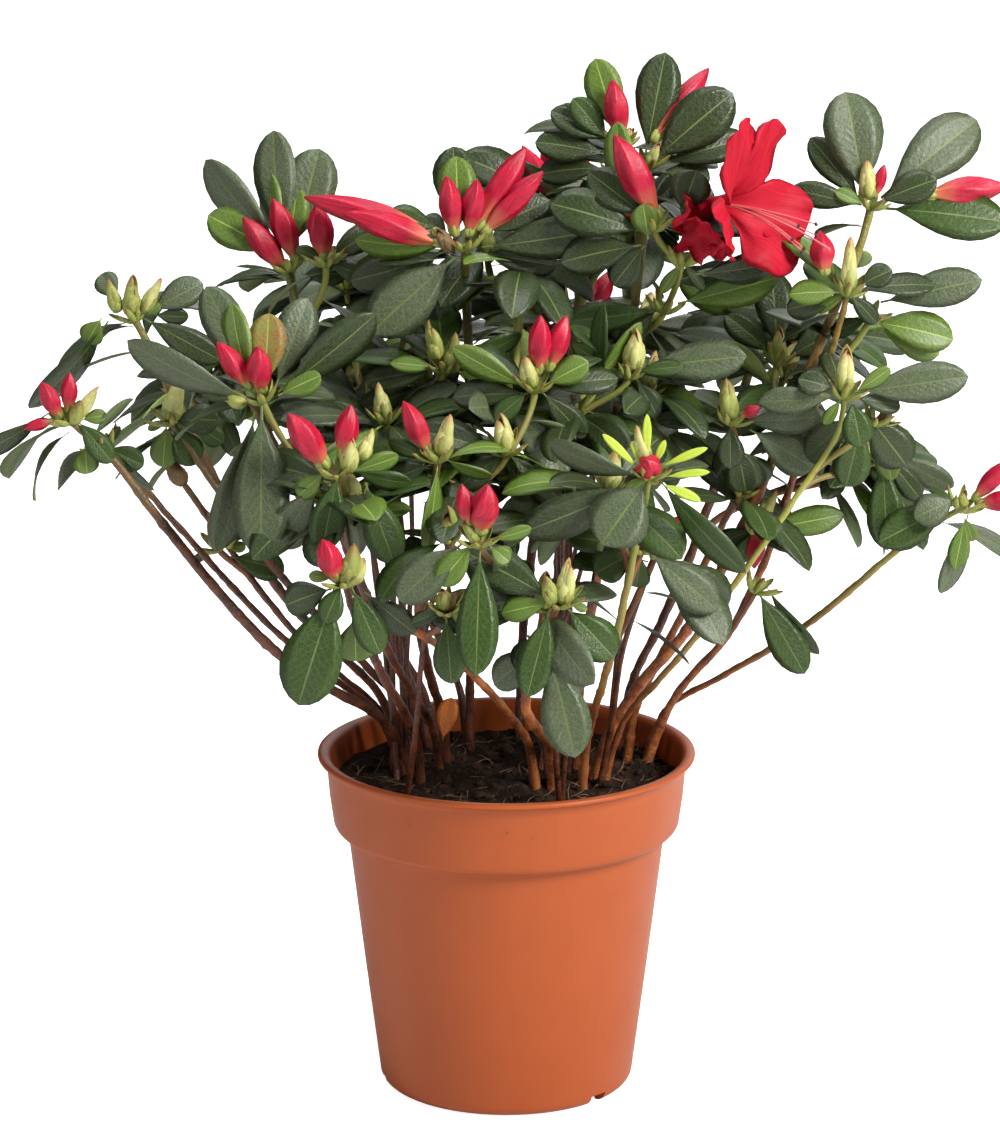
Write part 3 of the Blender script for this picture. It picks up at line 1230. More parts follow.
@dataclass
class BladeForm:
    """A flat closed blade along +Y, 1 long and 1 wide, with its upper face towards +Z, for leaves and petals.

    Slot 0 is its upper face, 1 its midrib and its stalk where it has them, and 2 its underside.
    """

    rows: tuple[float, ...]
    columns: tuple[float, ...]
    under_columns: tuple[float, ...]
    rise: float
    stalk: float = 0.0
    rib: float = 0.0

    def breadth(self, along: float) -> float:
        """The blade's width at a share of its length, as a share of its full width."""
        raise NotImplementedError

    def sheet(self, name: str, across: Sequence[float], height: float) -> bpy.types.Object:
        """One side of the blade, shaped row by row from a grid.

        Args:
            name: The object's name.
            across: Where its columns lie, as shares of the width.
            height: How far its middle stands above the edges.

        Returns:
            The sheet.
        """
        count = len(self.rows)
        bpy.ops.mesh.primitive_grid_add(x_subdivisions=len(across) - 1, y_subdivisions=count - 1, size=1)
        sheet = bpy.context.active_object
        sheet.name = name
        step = 1 / (len(across) - 1)
        with editing(sheet) as edit:
            for column, target in enumerate(across):
                here = -0.5 + column * step
                choose(edit, lambda p, here=here: abs(p.x - here) < TINY and abs(p.z) < 1e-6)
                lift = height * (1 - (2 * target) ** 2)
                bpy.ops.transform.translate(value=(target - here, 0, COLUMN_ASIDE + lift))
            select_whole()
            bpy.ops.transform.translate(value=(0, 0.5, -COLUMN_ASIDE))
            for row in range(count - 1, -1, -1):
                here, target = row / (count - 1), self.rows[row]
                choose(edit, lambda p, here=here: abs(p.y - here) < TINY)
                width = self.breadth(target) if row < count - 1 else 0.02
                bpy.ops.transform.resize(value=(width, 1, 0.4 + 0.6 * width), center_override=(0, here, 0))
                bpy.ops.transform.translate(value=(0, target - here + ROW_ASIDE, 0))
            select_whole()
            bpy.ops.transform.translate(value=(0, -ROW_ASIDE, 0))
        return sheet

    def build(self) -> Pattern:
        """Models the blade as a closed body.

        Returns:
            The blade's pattern.
        """
        top = self.sheet("blade_top", self.columns, self.rise)
        under = self.sheet("blade_under", self.under_columns, -self.rise)
        with editing(under):
            select_whole()
            bpy.ops.mesh.flip_normals()
        deselect()
        top.select_set(True)
        under.select_set(True)
        bpy.context.view_layer.objects.active = top
        bpy.ops.object.join()
        with editing(top):
            select_whole()
            bpy.ops.mesh.remove_doubles(threshold=0.0015)
        for _ in range(3):
            top.data.materials.append(None)
        for face in top.data.polygons:
            above = face.normal.z > 0
            on_rib = above and abs(face.center.x) < self.rib * self.breadth(face.center.y)
            face.material_index = 1 if on_rib or face.center.y < self.stalk else 0 if above else 2
        new_uv_map(top.data, lambda place: (0.5 + place.x, place.y))
        return Pattern.of(top)


@dataclass
class LeafForm(BladeForm):
    """The leaf that all leaves are bent and stretched from: a pointed oval blade on a short stalk."""

    rows: tuple[float, ...] = (0.0, 0.10, 0.19, 0.31, 0.44, 0.57, 0.70, 0.81, 0.90, 0.96, 1.0)
    columns: tuple[float, ...] = (-0.5, -0.27, -0.017, 0.017, 0.27, 0.5)
    under_columns: tuple[float, ...] = (-0.5, 0.0, 0.5)
    rise: float = 0.010
    stalk: float = 0.10
    rib: float = 0.01
    stalk_width: float = 0.055
    base_power: float = 1.05
    tip_power: float = 0.68

    def breadth(self, along: float) -> float:
        """The leaf's width at a share of its length."""
        if along <= self.stalk:
            return self.stalk_width
        share = (along - self.stalk) / (1 - self.stalk)
        base, tip = self.base_power, self.tip_power
        peak = (base / (base + tip)) ** base * (tip / (base + tip)) ** tip
        return max(self.stalk_width, share**base * (1 - share) ** tip / peak)


@dataclass
class LeafPose:
    """How one leaf is laid: its foot, its direction, the way its upper face looks, its size and its bends."""

    foot: Vector
    along: Vector
    face: Vector
    length: float
    width: float
    droop: float = 0.4
    twist: float = 0.0
    fold: float = 0.25

    def lay(self, pattern: Pattern) -> np.ndarray:
        """The places of a leaf pattern's vertices in this pose.

        Args:
            pattern: The leaf's pattern.

        Returns:
            The vertex places.
        """
        x, y, z = pattern.points.T
        side = np.abs(x)
        height = z * self.length + self.fold * self.width * (side - 1.1 * side**2)
        across = x * self.width
        turn = self.twist * y
        cosine, sine = np.cos(turn), np.sin(turn)
        across, height = across * cosine - height * sine, across * sine + height * cosine
        start = 0.06  # the share of the length that stays straight
        bend = self.droop * np.maximum(y - start, 0)
        reach = np.where(np.abs(bend) > TINY, np.sin(bend) / max(self.droop, TINY), y - start)
        reach = np.where(y <= start, y, reach + start)
        fall = -(1 - np.cos(bend)) / max(self.droop, TINY)
        right, along, face = (np.array(v) for v in basis(self.along, self.face))
        ahead = reach * self.length + height * np.sin(bend)
        lift = fall * self.length + height * np.cos(bend)
        return np.array(self.foot) + np.outer(across, right) + np.outer(ahead, along) + np.outer(lift, face)


# ---------------------------------------------------------------- buds


def map_round(obj: bpy.types.Object) -> None:
    """Gives a shape that stands along +Z a UV map: U as a measure round it and V up it.

    Args:
        obj: The shape, 1 long and 1 wide.
    """
    new_uv_map(obj.data, lambda place: (0.5 + place.x + 0.6 * place.y, place.z))


@dataclass
class BudForm:
    """A furled red bud, a spindle of petals wound round each other on a green foot, 1 long and 1 wide.

    Slot 0 is the red and 1 the green calyx.
    """

    petals: int = 5
    sides: int = 15
    turn: float = 1.35
    seam: float = 0.68
    profile: tuple[tuple[float, float], ...] = (
        (0.00, 0.18), (0.05, 0.23), (0.11, 0.34), (0.19, 0.52), (0.30, 0.77), (0.42, 0.95), (0.54, 1.0),
        (0.67, 0.91), (0.79, 0.71), (0.89, 0.46), (0.96, 0.23), (1.00, 0.06),
    )

    def build(self) -> Pattern:
        """Models the bud ring by ring from a lobed circle.

        Returns:
            The bud's pattern.
        """
        first = self.profile[0][1]
        bpy.ops.mesh.primitive_circle_add(vertices=self.sides, radius=0.5, fill_type="NGON")
        bud = bpy.context.active_object
        each = self.sides // self.petals
        with editing(bud) as edit:
            for lobe in range(self.petals):
                turn = 2 * math.pi * lobe * each / self.sides
                seam = Vector((-math.sin(turn), math.cos(turn), 0)) * 0.5
                choose(edit, lambda p, seam=seam: (p - seam).length < 0.02)
                bpy.ops.transform.resize(value=(self.seam, self.seam, 1), center_override=(0, 0, 0))
            select_whole()
            bpy.ops.transform.resize(value=(first, first, 1), center_override=(0, 0, 0))
            for (low, before), (high, after) in zip(self.profile, self.profile[1:]):
                bpy.ops.mesh.extrude_region_move(TRANSFORM_OT_translate={"value": (0, 0, high - low)})
                ratio = after / before
                bpy.ops.transform.resize(value=(ratio, ratio, 1), center_override=(0, 0, high))
                angle = self.turn * (high - low)
                bpy.ops.transform.rotate(value=angle, orient_axis="Z", center_override=(0, 0, high))
            select_whole()
            bpy.ops.mesh.normals_make_consistent(inside=False)
        for _ in range(2):
            bud.data.materials.append(None)
        for face in bud.data.polygons:
            face.material_index = 1 if face.center.z < 0.12 else 0
        map_round(bud)
        return Pattern.of(bud)


@dataclass
class ScaleForm:
    """One bract of a bud: a small pointed cupped scale along +Z that bulges towards -Y, 1 long and 1 wide."""

    heights: tuple[float, ...] = (0.0, 0.22, 0.50, 0.77, 0.92, 1.0)
    widths: tuple[float, ...] = (0.60, 0.92, 1.02, 0.84, 0.50, 0.08)
    bulges: tuple[float, ...] = (0.05, 0.32, 0.42, 0.32, 0.16, 0.0)

    def build(self) -> Pattern:
        """Models the scale from a grid, row by row.

        Returns:
            The scale's pattern.
        """
        bpy.ops.mesh.primitive_grid_add(x_subdivisions=4, y_subdivisions=len(self.heights) - 1, size=1)
        scale = bpy.context.active_object
        count = len(self.heights)
        with editing(scale) as edit:
            select_whole()
            bpy.ops.transform.rotate(value=-math.pi / 2, orient_axis="X", center_override=(0, 0, 0))
            bpy.ops.transform.translate(value=(0, 0, 0.5))
            for row in range(count - 1, -1, -1):
                here = row / (count - 1)
                choose(edit, lambda p, here=here: abs(p.z - here) < TINY)
                bpy.ops.transform.resize(value=(self.widths[row], 1, 1), center_override=(0, 0, here))
                bpy.ops.transform.translate(value=(0, 0, self.heights[row] - here + ROW_ASIDE))
                level, width = ROW_ASIDE + self.heights[row], self.widths[row]
                for half, depth in ((0.3, self.bulges[row]), (0.1, 0.12 * width)):
                    reach = half * width
                    choose(edit, lambda p, z=level, x=reach: abs(p.z - z) < TINY and abs(p.x) < x)
                    bpy.ops.transform.translate(value=(0, -depth, 0))
            select_whole()
            bpy.ops.transform.translate(value=(0, 0, -ROW_ASIDE))
        solid = scale.modifiers.new("thickness", "SOLIDIFY")
        solid.thickness = 0.05
        solid.offset = 0
        keep_modifiers(scale)
        map_round(scale)
        return Pattern.of(scale)


def place_pattern(
    pattern: Pattern, foot: Vector, along: Vector, face: Vector, long: float, wide: float
) -> np.ndarray:
    """Places of an upright pattern that is turned, stretched and set down.

    Args:
        pattern: A shape that stands along +Z, 1 long and 1 wide, with its front towards -Y.
        foot: Where its foot goes.
        along: Where its tip points.
        face: The way its front looks.
        long: Its length in metres.
        wide: Its width in metres.

    Returns:
        The vertex places.
    """
    right, tall, front = (np.array(v) for v in basis(along, face))
    x, y, z = pattern.points.T
    return np.array(foot) + np.outer(-x * wide, right) + np.outer(-y * wide, front) + np.outer(z * long, tall)


# ---------------------------------------------------------------- limbs


@dataclass
class Line:
    """A stem's centre line as points with a radius at each."""

    points: list[Vector]
    radii: list[float]

    def refined(self, step: float) -> "Line":
        """The same line, smooth, with a point about every step.

        Args:
            step: The distance between points, in metres.

        Returns:
            The finer line.
        """
        points, radii = [], []
        last = len(self.points) - 1
        for index in range(last):
            before = self.points[max(index - 1, 0)]
            here, ahead = self.points[index], self.points[index + 1]
            after = self.points[min(index + 2, last)]
            parts = max(1, round((ahead - here).length / step))
            for part in range(parts):
                share = part / parts
                leave, arrive = (ahead - before) * 0.5, (after - here) * 0.5
                square, cube = share * share, share**3
                points.append(
                    here * (2 * cube - 3 * square + 1) + leave * (cube - 2 * square + share)
                    + ahead * (3 * square - 2 * cube) + arrive * (cube - square)
                )
                radii.append(self.radii[index] * (1 - share) + self.radii[index + 1] * share)
        points.append(self.points[-1].copy())
        radii.append(self.radii[-1])
        return Line(points, radii)

    def tangent(self, index: int) -> Vector:
        """The line's direction at one of its points."""
        low, high = max(index - 1, 0), min(index + 1, len(self.points) - 1)
        return (self.points[high] - self.points[low]).normalized()


def solid_points(node: str) -> np.ndarray:
    """The separate corners of a solid.

    Args:
        node: The solid's name.

    Returns:
        Its corners, without repeats, in metres.
    """
    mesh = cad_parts[node].data
    points = np.empty(len(mesh.vertices) * 3, np.float64)
    mesh.vertices.foreach_get("co", points)
    return np.unique(points.reshape(-1, 3).round(6), axis=0)


def stem_line(node: str, sides: int = 5) -> Line:
    """Reads a stem solid's centre line and radii from its rings of corners.

    Args:
        node: The stem solid's name.
        sides: How many corners each ring has.

    Returns:
        The line, from the foot up.
    """
    corners = solid_points(node)
    foot = corners[np.argsort(corners[:, 2])[:sides]].mean(axis=0)
    tip = corners[np.argmax(np.linalg.norm(corners - foot, axis=1))]
    order = np.argsort((corners - foot) @ (tip - foot))
    rings = corners[order].reshape(-1, sides, 3)
    middles = rings.mean(axis=1)
    radii = np.linalg.norm(rings - middles[:, None], axis=2).mean(axis=1)
    return Line([Vector(m) for m in middles], [float(r) for r in radii])


@dataclass
class Limb:
    """One stem from the compost to its shoot, with bark relief, knots and a flared foot."""

    name: str
    line: Line
    sink: float = 9 * MM
    knot_every: float = 13 * MM
    knot_swell: float = 0.16
    slim: float = 0.78
    base_share: float = 0.70
    top_share: float = 1.0
    step: float = 1.9 * MM
    knot_spread: float = 0.006
    wander: float = 0.05 * MM

    def trace(self, tip: Vector | None, rng: np.random.Generator) -> Line:
        """The full line: from inside the compost, through the solid's line, to the shoot.

        Args:
            tip: The shoot's heart, or nothing for a stem that ends bare.
            rng: The stem's own random numbers.

        Returns:
            The fine line with knots in its radii.
        """
        points, last = list(self.line.points), len(self.line.radii) - 1
        shares = [min(1.0, 1.2 * index / last) for index in range(last + 1)]
        rise = self.top_share - self.base_share
        swell = [self.slim * (self.base_share + rise * share) for share in shares]
        radii = [radius * grown for radius, grown in zip(self.line.radii, swell)]
        points.insert(0, points[0] - UP * self.sink)
        radii.insert(0, radii[0] * 1.2)
        if tip is not None:
            middle = points[-1].lerp(tip, 0.5)
            ahead = (points[-1] - points[-2]).normalized() * (tip - points[-1]).length * 0.5
            points += [middle.lerp(points[-1] + ahead, 0.35), tip]
            radii += [radii[-1] * 0.94, radii[-1] * 0.88]
        fine = Line(points, radii).refined(self.step)
        phase = rng.uniform(0, self.knot_every)
        run, drift = 0.0, Vector((0, 0, 0))
        for index in range(1, len(fine.points)):
            run += (fine.points[index] - fine.points[index - 1]).length
            near = ((run + phase) % self.knot_every) / self.knot_every
            swell = self.knot_swell * math.exp(-((near - 0.5) ** 2) / self.knot_spread)
            fine.radii[index] *= 1 + swell + rng.uniform(-0.04, 0.04)
            drift = drift * 0.9 + Vector(rng.normal(0, self.wander, 3))
            if 3 < index < len(fine.points) - 4:
                fine.points[index] += drift
        return fine


def tube_piece(name: str, lines: Sequence[Line], sides: int) -> bpy.types.Object:
    """Round tapered tubes along lines, as one mesh with closed ends.

    Args:
        name: The piece's name.
        lines: The lines with their radii.
        sides: How many sides each tube has, an even number of 4 or more.

    Returns:
        The piece.
    """
    curve = bpy.data.curves.new(name, "CURVE")
    curve.dimensions = "3D"
    curve.bevel_depth = 1.0
    curve.bevel_resolution = (sides - 4) // 2
    curve.use_fill_caps = True
    for line in lines:
        spline = curve.splines.new("POLY")
        spline.points.add(len(line.points) - 1)
        for point, place, radius in zip(spline.points, line.points, line.radii):
            point.co = (*place, 1.0)
            point.radius = radius
    piece = bpy.data.objects.new(name, curve)
    bpy.context.scene.collection.objects.link(piece)
    activate(piece)
    bpy.ops.object.convert(target="MESH")
    piece = bpy.context.active_object
    with editing(piece):
        merge_doubles(0.01 * MM)
    return piece


# ---------------------------------------------------------------- the plant


@dataclass
class Heart:
    """A shoot in place: its heart and the way it grows."""

    shoot: Shoot
    place: Vector
    axis: Vector

    @property
    def node(self) -> str:
        """The leaf mass that the shoot belongs to."""
        return Plant.mass_prefix + self.shoot.mass


class Plant:
    """The shrub: limbs, twigs, leaves and buds, grown on from the stem solids into the leaf masses."""

    stem_prefix = "stem_"
    mass_prefix = "leaves_"
    bare_tip = "brown_bud"
    bright = (
        "centre_thick", "centre_bright", "east_thick", "east_thin", "right_up", "right_mid", "diagonal",
        "crown",
    )
    olive = ("centre_bright", "east_thin", "far_east")
    scale_finishes = (
        (GREEN, SCALE_GREEN), (PALE, SCALE_PALE), (BROWN, SCALE_BROWN), (BudKind.RING, SCALE_GREEN),
    )
    slim = (0.82, 0.94)  # how thick a dark and a bright limb is against its solid
    tops = (1.35, 1.0)  # and how much of that it has at its tip
    leaf_lift = 0.35  # how much a stated leaf's face looks up rather than at the viewer
    twig_length = 34 * MM
    least_rise = 7 * MM
    bare_foot = 16 * MM
    back_room = 28 * MM
    dry_place = Vector((-20, -14, 116)) * MM
    shank_seed = 23
    shank_masses = ("heart_west", "heart_east", "right_low", "front_mid", "front_centre", "lime_shoot")
    clumps = (-30, 15, 32)
    clump_reach = 37 * MM

    def __init__(self, paints: Paints, seed: int = 41) -> None:
        """Sets the plant up.

        Args:
            paints: The materials.
            seed: The seed of all its random numbers.
        """
        self.paints = paints
        self.rng = np.random.default_rng(seed)
        self.leaf_form = LeafForm().build()
        self.bud_form = BudForm().build()
        self.scale_form = ScaleForm().build()
        self.relief = relief_texture("bark_relief", 1.3 * MM)
        self.leaves = {tint: Batch() for tint in Tint}
        self.red_buds = Batch()
        self.scales = {kind: Batch() for kind in BudKind if kind is not BudKind.RED}
        self.stems = [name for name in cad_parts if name.startswith(self.stem_prefix)]
        self.limbs: dict[str, Line] = {}
        self.twigs: list[Line] = []
        self.hearts: list[Heart] = []
        self.crown_foot = Vector((0, 0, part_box("soil")[1].z))

    # ------------------------------------------------ where the shoots are

    def mass_place(self, mass: str, at: Sequence[float]) -> Vector:
        """A place in a leaf mass.

        Args:
            mass: The mass's name without its prefix.
            at: The place as shares of the mass's half size from its middle.

        Returns:
            The place.
        """
        low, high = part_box(self.mass_prefix + mass)
        return Vector([(a + b) / 2 + share * (b - a) / 2 for a, b, share in zip(low, high, at)])

    def growth(self, place: Vector) -> Vector:
        """The way a shoot grows at a place: outwards from the pot and upwards."""
        out = (place - self.crown_foot).normalized()
        return (out + UP * 0.7).normalized()

    def set_shoots(self) -> None:
        """Finds the hearts of the front shoots, and sets further ones in the groves by rule."""
        for shoot in FRONT_SHOOTS:
            place = self.mass_place(shoot.mass, shoot.at)
            self.hearts.append(Heart(shoot, place, self.growth(place)))
        for grove in GROVES:
            for index in range(grove.shoots):
                self.hearts.append(self.grove_heart(grove, index))

    def grove_heart(self, grove: Grove, index: int) -> Heart:
        """One shoot of a grove, set by the golden angle on the mass's outer and upper side.

        Args:
            grove: The grove.
            index: Which of its shoots.

        Returns:
            The shoot in place.
        """
        rng = self.rng
        middle = self.mass_place(grove.mass, (0, 0, 0))
        out = middle - self.crown_foot
        out.z *= 0.4
        out.normalize()
        side = out.cross(UP).normalized()
        top = side.cross(out).normalized()
        turn = index * GOLDEN_ANGLE + rng.uniform(0, 1)
        spread = 0.55 * math.sqrt((index + 0.4) / max(grove.shoots, 1)) * 1.25
        way = side * math.cos(turn) * spread + top * math.sin(turn) * spread + out * rng.uniform(0.0, 0.35)
        at = tuple(share + offset for share, offset in zip(way, grove.middle))
        place = self.mass_place(grove.mass, at)
        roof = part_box(self.mass_prefix + grove.mass)[1].z - grove.head_mm * MM
        place.z = min(place.z, roof)
        place.y = min(place.y, CAD_BOX[1].y - self.back_room)
        buds: list[Bud] = []
        roll = rng.uniform()
        if roll < grove.red:
            for number in range(int(rng.integers(1, 4))):
                buds.append(Bud(number * 27 - 20, rng.uniform(15, 26), RED, rng.uniform(7, 9), 0.0))
        else:
            long = rng.uniform(10, 15)
            buds.append(Bud(0, long, GREEN if rng.uniform() < 0.5 else PALE, rng.uniform(5.5, 7)))
        limb = grove.limb if index == 0 else ""
        shoot = Shoot(grove.mass, at, (), tuple(buds), more=grove.leaves, low=3, limb=limb)
        return Heart(shoot, place, self.growth(place))

    # ------------------------------------------------ limbs and twigs

    def grow_limbs(self) -> None:
        """Traces every limb from its stem solid to its shoot."""
        tips = {heart.shoot.limb: heart.place for heart in self.hearts if heart.shoot.limb}
        for name in sorted(self.stems):
            own = name.removeprefix(self.stem_prefix)
            bright = own in self.bright
            limb = Limb(own, stem_line(name), slim=self.slim[bright], top_share=self.tops[bright])
            rng = np.random.default_rng(sum(map(ord, own)))
            self.limbs[own] = limb.trace(tips.get(own), rng)

    def grow_twigs(self) -> None:
        """Joins every other shoot to the limb or twig below it, the nearest shoots first."""
        waiting = [heart for heart in self.hearts if not heart.shoot.limb]
        lines = list(self.limbs.values())

        def cost(heart: Heart, line: Line, index: int) -> float:
            """How unlikely it is that a shoot springs from a point of a line."""
            point = line.points[index]
            reach = heart.place - point
            if reach.z < self.least_rise or point.z < self.crown_foot.z + self.bare_foot:
                return math.inf
            straight = reach.normalized().dot(line.tangent(index))
            long = self.twig_length if heart.shoot.leaves else self.twig_length * 1.7
            return abs(reach.length - long) * 0.5 + reach.length * (1.6 - straight)

        while waiting:
            best = None
            for heart in waiting:
                for line in lines:
                    for index in range(2, len(line.points) - 1, 3):
                        value = cost(heart, line, index)
                        if best is None or value < best[0]:
                            best = (value, heart, line, index)
            _, heart, line, index = best
            waiting.remove(heart)
            twig = self.twig(line, index, heart)
            self.twigs.append(twig)
            lines.append(twig)

    def grow_shanks(self) -> list[Line]:
        """Thin stems from the compost into the shoots of the crown's middle.

        Returns:
            Their lines.
        """
        rng = np.random.default_rng(self.shank_seed)
        lines = []
        for heart in self.hearts:
            if heart.shoot.mass not in self.shank_masses or heart.shoot.leaves:
                continue
            low = self.crown_foot.z - Limb.sink
            aside = rng.normal(0, 4 * MM, 2)
            clump = min(self.clumps, key=lambda x: abs(x * MM - heart.place.x * 0.6)) * MM
            flat = Vector((clump + aside[0], heart.place.y * 0.3 + aside[1]))
            flat *= min(1.0, self.clump_reach / flat.length)
            foot = Vector((*flat, low))
            reach = heart.place - foot
            sway = Vector((*rng.normal(0, 2.2 * MM, 2), 0))
            steep = Vector((-reach.x, -reach.y, 0)) * 0.10
            knee, elbow = foot + reach * 0.3 + steep + sway, foot + reach * 0.65 + steep - sway
            thick = rng.uniform(0.8, 1.25) * MM
            radii = [thick, thick * 0.9, thick * 0.78, 0.8 * MM]
            lines.append(Line([foot, knee, elbow, heart.place], radii).refined(3 * MM))
        return lines

    def twig(self, parent: Line, index: int, heart: Heart) -> Line:
        """A twig that leaves a line smoothly and ends in a shoot.

        Args:
            parent: The line it springs from.
            index: The point that it leaves.
            heart: The shoot that it carries.

        Returns:
            The twig's line.
        """
        start, tangent = parent.points[index], parent.tangent(index)
        reach = (heart.place - start).length
        near = start + tangent * reach * 0.35
        far = heart.place - heart.axis * reach * 0.33
        thick = min(parent.radii[index] * 0.9, 1.45 * MM)
        thin = 1.05 * MM
        steps = max(4, round(reach / (2.5 * MM)))
        points, radii = [], []
        for step in range(steps + 1):
            share = step / steps
            back = 1 - share
            points.append(
                start * back**3 + near * 3 * back * back * share + far * 3 * back * share * share
                + heart.place * share**3
            )
            knot = 0.15 * math.exp(-(((share * reach / (9 * MM)) % 1 - 0.5) ** 2) / 0.01)
            radii.append((thick * back + thin * share) * (1 + knot))
        return Line(points, radii)

    # ------------------------------------------------ leaves

    def seen(self, clock: float, toward: float) -> Vector:
        """A direction from how a viewer before the plant sees it.

        Args:
            clock: Degrees clockwise from straight up.
            toward: How far it points at the viewer, from -1 to 1.

        Returns:
            The direction.
        """
        turn = math.radians(clock)
        flat = math.sqrt(max(0.0, 1 - toward * toward))
        return Vector((math.sin(turn) * flat, -toward, math.cos(turn) * flat)).normalized()

    def set_leaf(self, heart: Heart, leaf: Leaf) -> None:
        """Adds one leaf that the design states.

        Args:
            heart: Its shoot.
            leaf: The leaf.
        """
        rng = self.rng
        up = math.cos(math.radians(leaf.clock))
        toward = leaf.toward if leaf.toward is not None else 0.1 - 0.25 * up
        toward += rng.uniform(-0.05, 0.05)
        along = self.seen(leaf.clock, toward)
        turn = math.radians(leaf.clock)
        ahead = max(0.0, leaf.start[0] * math.sin(turn) + leaf.start[1] * math.cos(turn))
        true_length = (leaf.long - ahead) / max(0.6, math.sqrt(1 - toward * toward))
        least = 0.34 * leaf.long if leaf.long > 12 and leaf.tint is not Tint.LIME else leaf.wide
        true_width = max(leaf.wide, least)
        roll = math.acos(min(1.0, leaf.wide / true_width)) * (1 if math.sin(turn) > 0 else -1)
        face = Matrix.Rotation(roll, 3, along) @ basis(along, FRONT + UP * self.leaf_lift * (1 - abs(up)))[2]
        foot = heart.place + Vector((leaf.start[0], -toward * 3, leaf.start[1])) * MM
        pose = LeafPose(
            foot, along, face, true_length * MM, true_width * MM, leaf.droop * rng.uniform(0.8, 1.2),
            rng.uniform(-0.25, 0.25), rng.uniform(0.16, 0.34),
        )
        self.add_leaf(leaf.tint, pose, heart.node)

    def add_leaf(self, tint: Tint, pose: LeafPose, node: str) -> None:
        """Adds one leaf to the piece of its colour.

        Args:
            tint: Its colour.
            pose: How it lies.
            node: The leaf mass that it belongs to.
        """
        batch = self.leaves[tint]
        batch.add(self.leaf_form, pose.lay(self.leaf_form))
        batch.stands_for.add(node)

    def pick_tint(self, young: float) -> Tint:
        """A colour for a leaf of the branching rule.

        Args:
            young: How likely it is to be a fresh one.

        Returns:
            The colour.
        """
        roll = self.rng.uniform()
        if roll < young:
            return Tint.FRESH
        return (Tint.DARK, Tint.DARK, Tint.GREY, Tint.MID, Tint.DARK)[int(self.rng.integers(0, 5))]

    def fill_shoot(self, heart: Heart) -> None:
        """Adds the whorl of leaves that the branching rule gives a shoot.

        Args:
            heart: The shoot.
        """
        rng = self.rng
        stated = bool(heart.shoot.leaves)
        right, axis, face = basis(heart.axis, UP)
        start = rng.uniform(0, 2 * math.pi)
        for index in range(heart.shoot.more):
            for _ in range(8):
                turn = start + index * GOLDEN_ANGLE + rng.uniform(-0.3, 0.3)
                open_angle = math.radians(rng.uniform(48, 92))
                out = right * math.cos(turn) + face * math.sin(turn)
                way = axis * math.cos(open_angle) + out * math.sin(open_angle)
                way.z -= rng.uniform(0.0, 0.35)
                way.normalize()
                if not stated or way.y > 0.05:
                    break
                start += 0.7
            length = rng.uniform(22, 36) * MM
            upper = axis * 0.7 + UP * 0.3 + FRONT * 0.45 + Vector(rng.normal(0, 0.3, 3))
            foot = heart.place + way * 1.5 * MM - axis * rng.uniform(0, 4) * MM
            width = length * rng.uniform(0.36, 0.46)
            droop, twist, fold = rng.uniform(0.3, 1.2), rng.uniform(-0.4, 0.4), rng.uniform(0.15, 0.35)
            pose = LeafPose(foot, way, upper, length, width, droop, twist, fold)
            self.add_leaf(self.pick_tint(0.14), pose, heart.node)

    def lower_leaves(self, heart: Heart, line: Line) -> None:
        """Adds the older leaves along the stem below a shoot.

        Args:
            heart: The shoot.
            line: The limb or twig that carries it.
        """
        rng = self.rng
        last = len(line.points) - 1
        for index in range(heart.shoot.low):
            back = int(last - (index + 1.2) * rng.uniform(2.2, 4.2))
            if back < 3:
                return
            place, tangent = line.points[back], line.tangent(back)
            across = basis(tangent, FRONT)
            turn = rng.uniform(0, 2 * math.pi) + index * GOLDEN_ANGLE
            side = across[0] * math.cos(turn) + across[2] * math.sin(turn)
            if heart.shoot.leaves and side.y < 0:
                side.y *= -0.4
            way = (side + tangent * rng.uniform(0.1, 0.8) - UP * rng.uniform(0.0, 0.5)).normalized()
            length = rng.uniform(16, 30) * MM
            upper = tangent + UP * 0.5 + Vector(rng.normal(0, 0.3, 3))
            width = length * rng.uniform(0.38, 0.5)
            droop, twist, fold = rng.uniform(0.2, 0.8), rng.uniform(-0.3, 0.3), rng.uniform(0.15, 0.35)
            pose = LeafPose(place, way, upper, length, width, droop, twist, fold)
            self.add_leaf(self.pick_tint(0.22), pose, heart.node)

    # ------------------------------------------------ buds

    def set_bud(self, heart: Heart, bud: Bud) -> None:
        """Adds one bud.

        Args:
            heart: Its shoot.
            bud: The bud.
        """
        rng = self.rng
        if heart.shoot.leaves:
            along = self.seen(bud.clock, bud.toward)
        else:
            lean = Matrix.Rotation(math.radians(bud.clock), 3, basis(heart.axis, FRONT)[2])
            along = (lean @ heart.axis).normalized()
        foot = heart.place + Vector((bud.start[0], 0, bud.start[1])) * MM
        long = bud.long * MM
        wide = (bud.wide or 3.5 + 0.22 * bud.long) * MM
        spin = Vector(rng.normal(0, 1, 3))
        if bud.kind is BudKind.RED:
            self.red_buds.add(self.bud_form, place_pattern(self.bud_form, foot, along, spin, long, wide))
            self.red_buds.stands_for.add(heart.node)
            self.bracts(heart, foot, along, BudKind.GREEN, 5, min(0.28 * long, 4.8 * MM), wide * 0.29, 0.16)
        else:
            self.scaly_bud(heart, foot, along, bud.kind, long, wide)

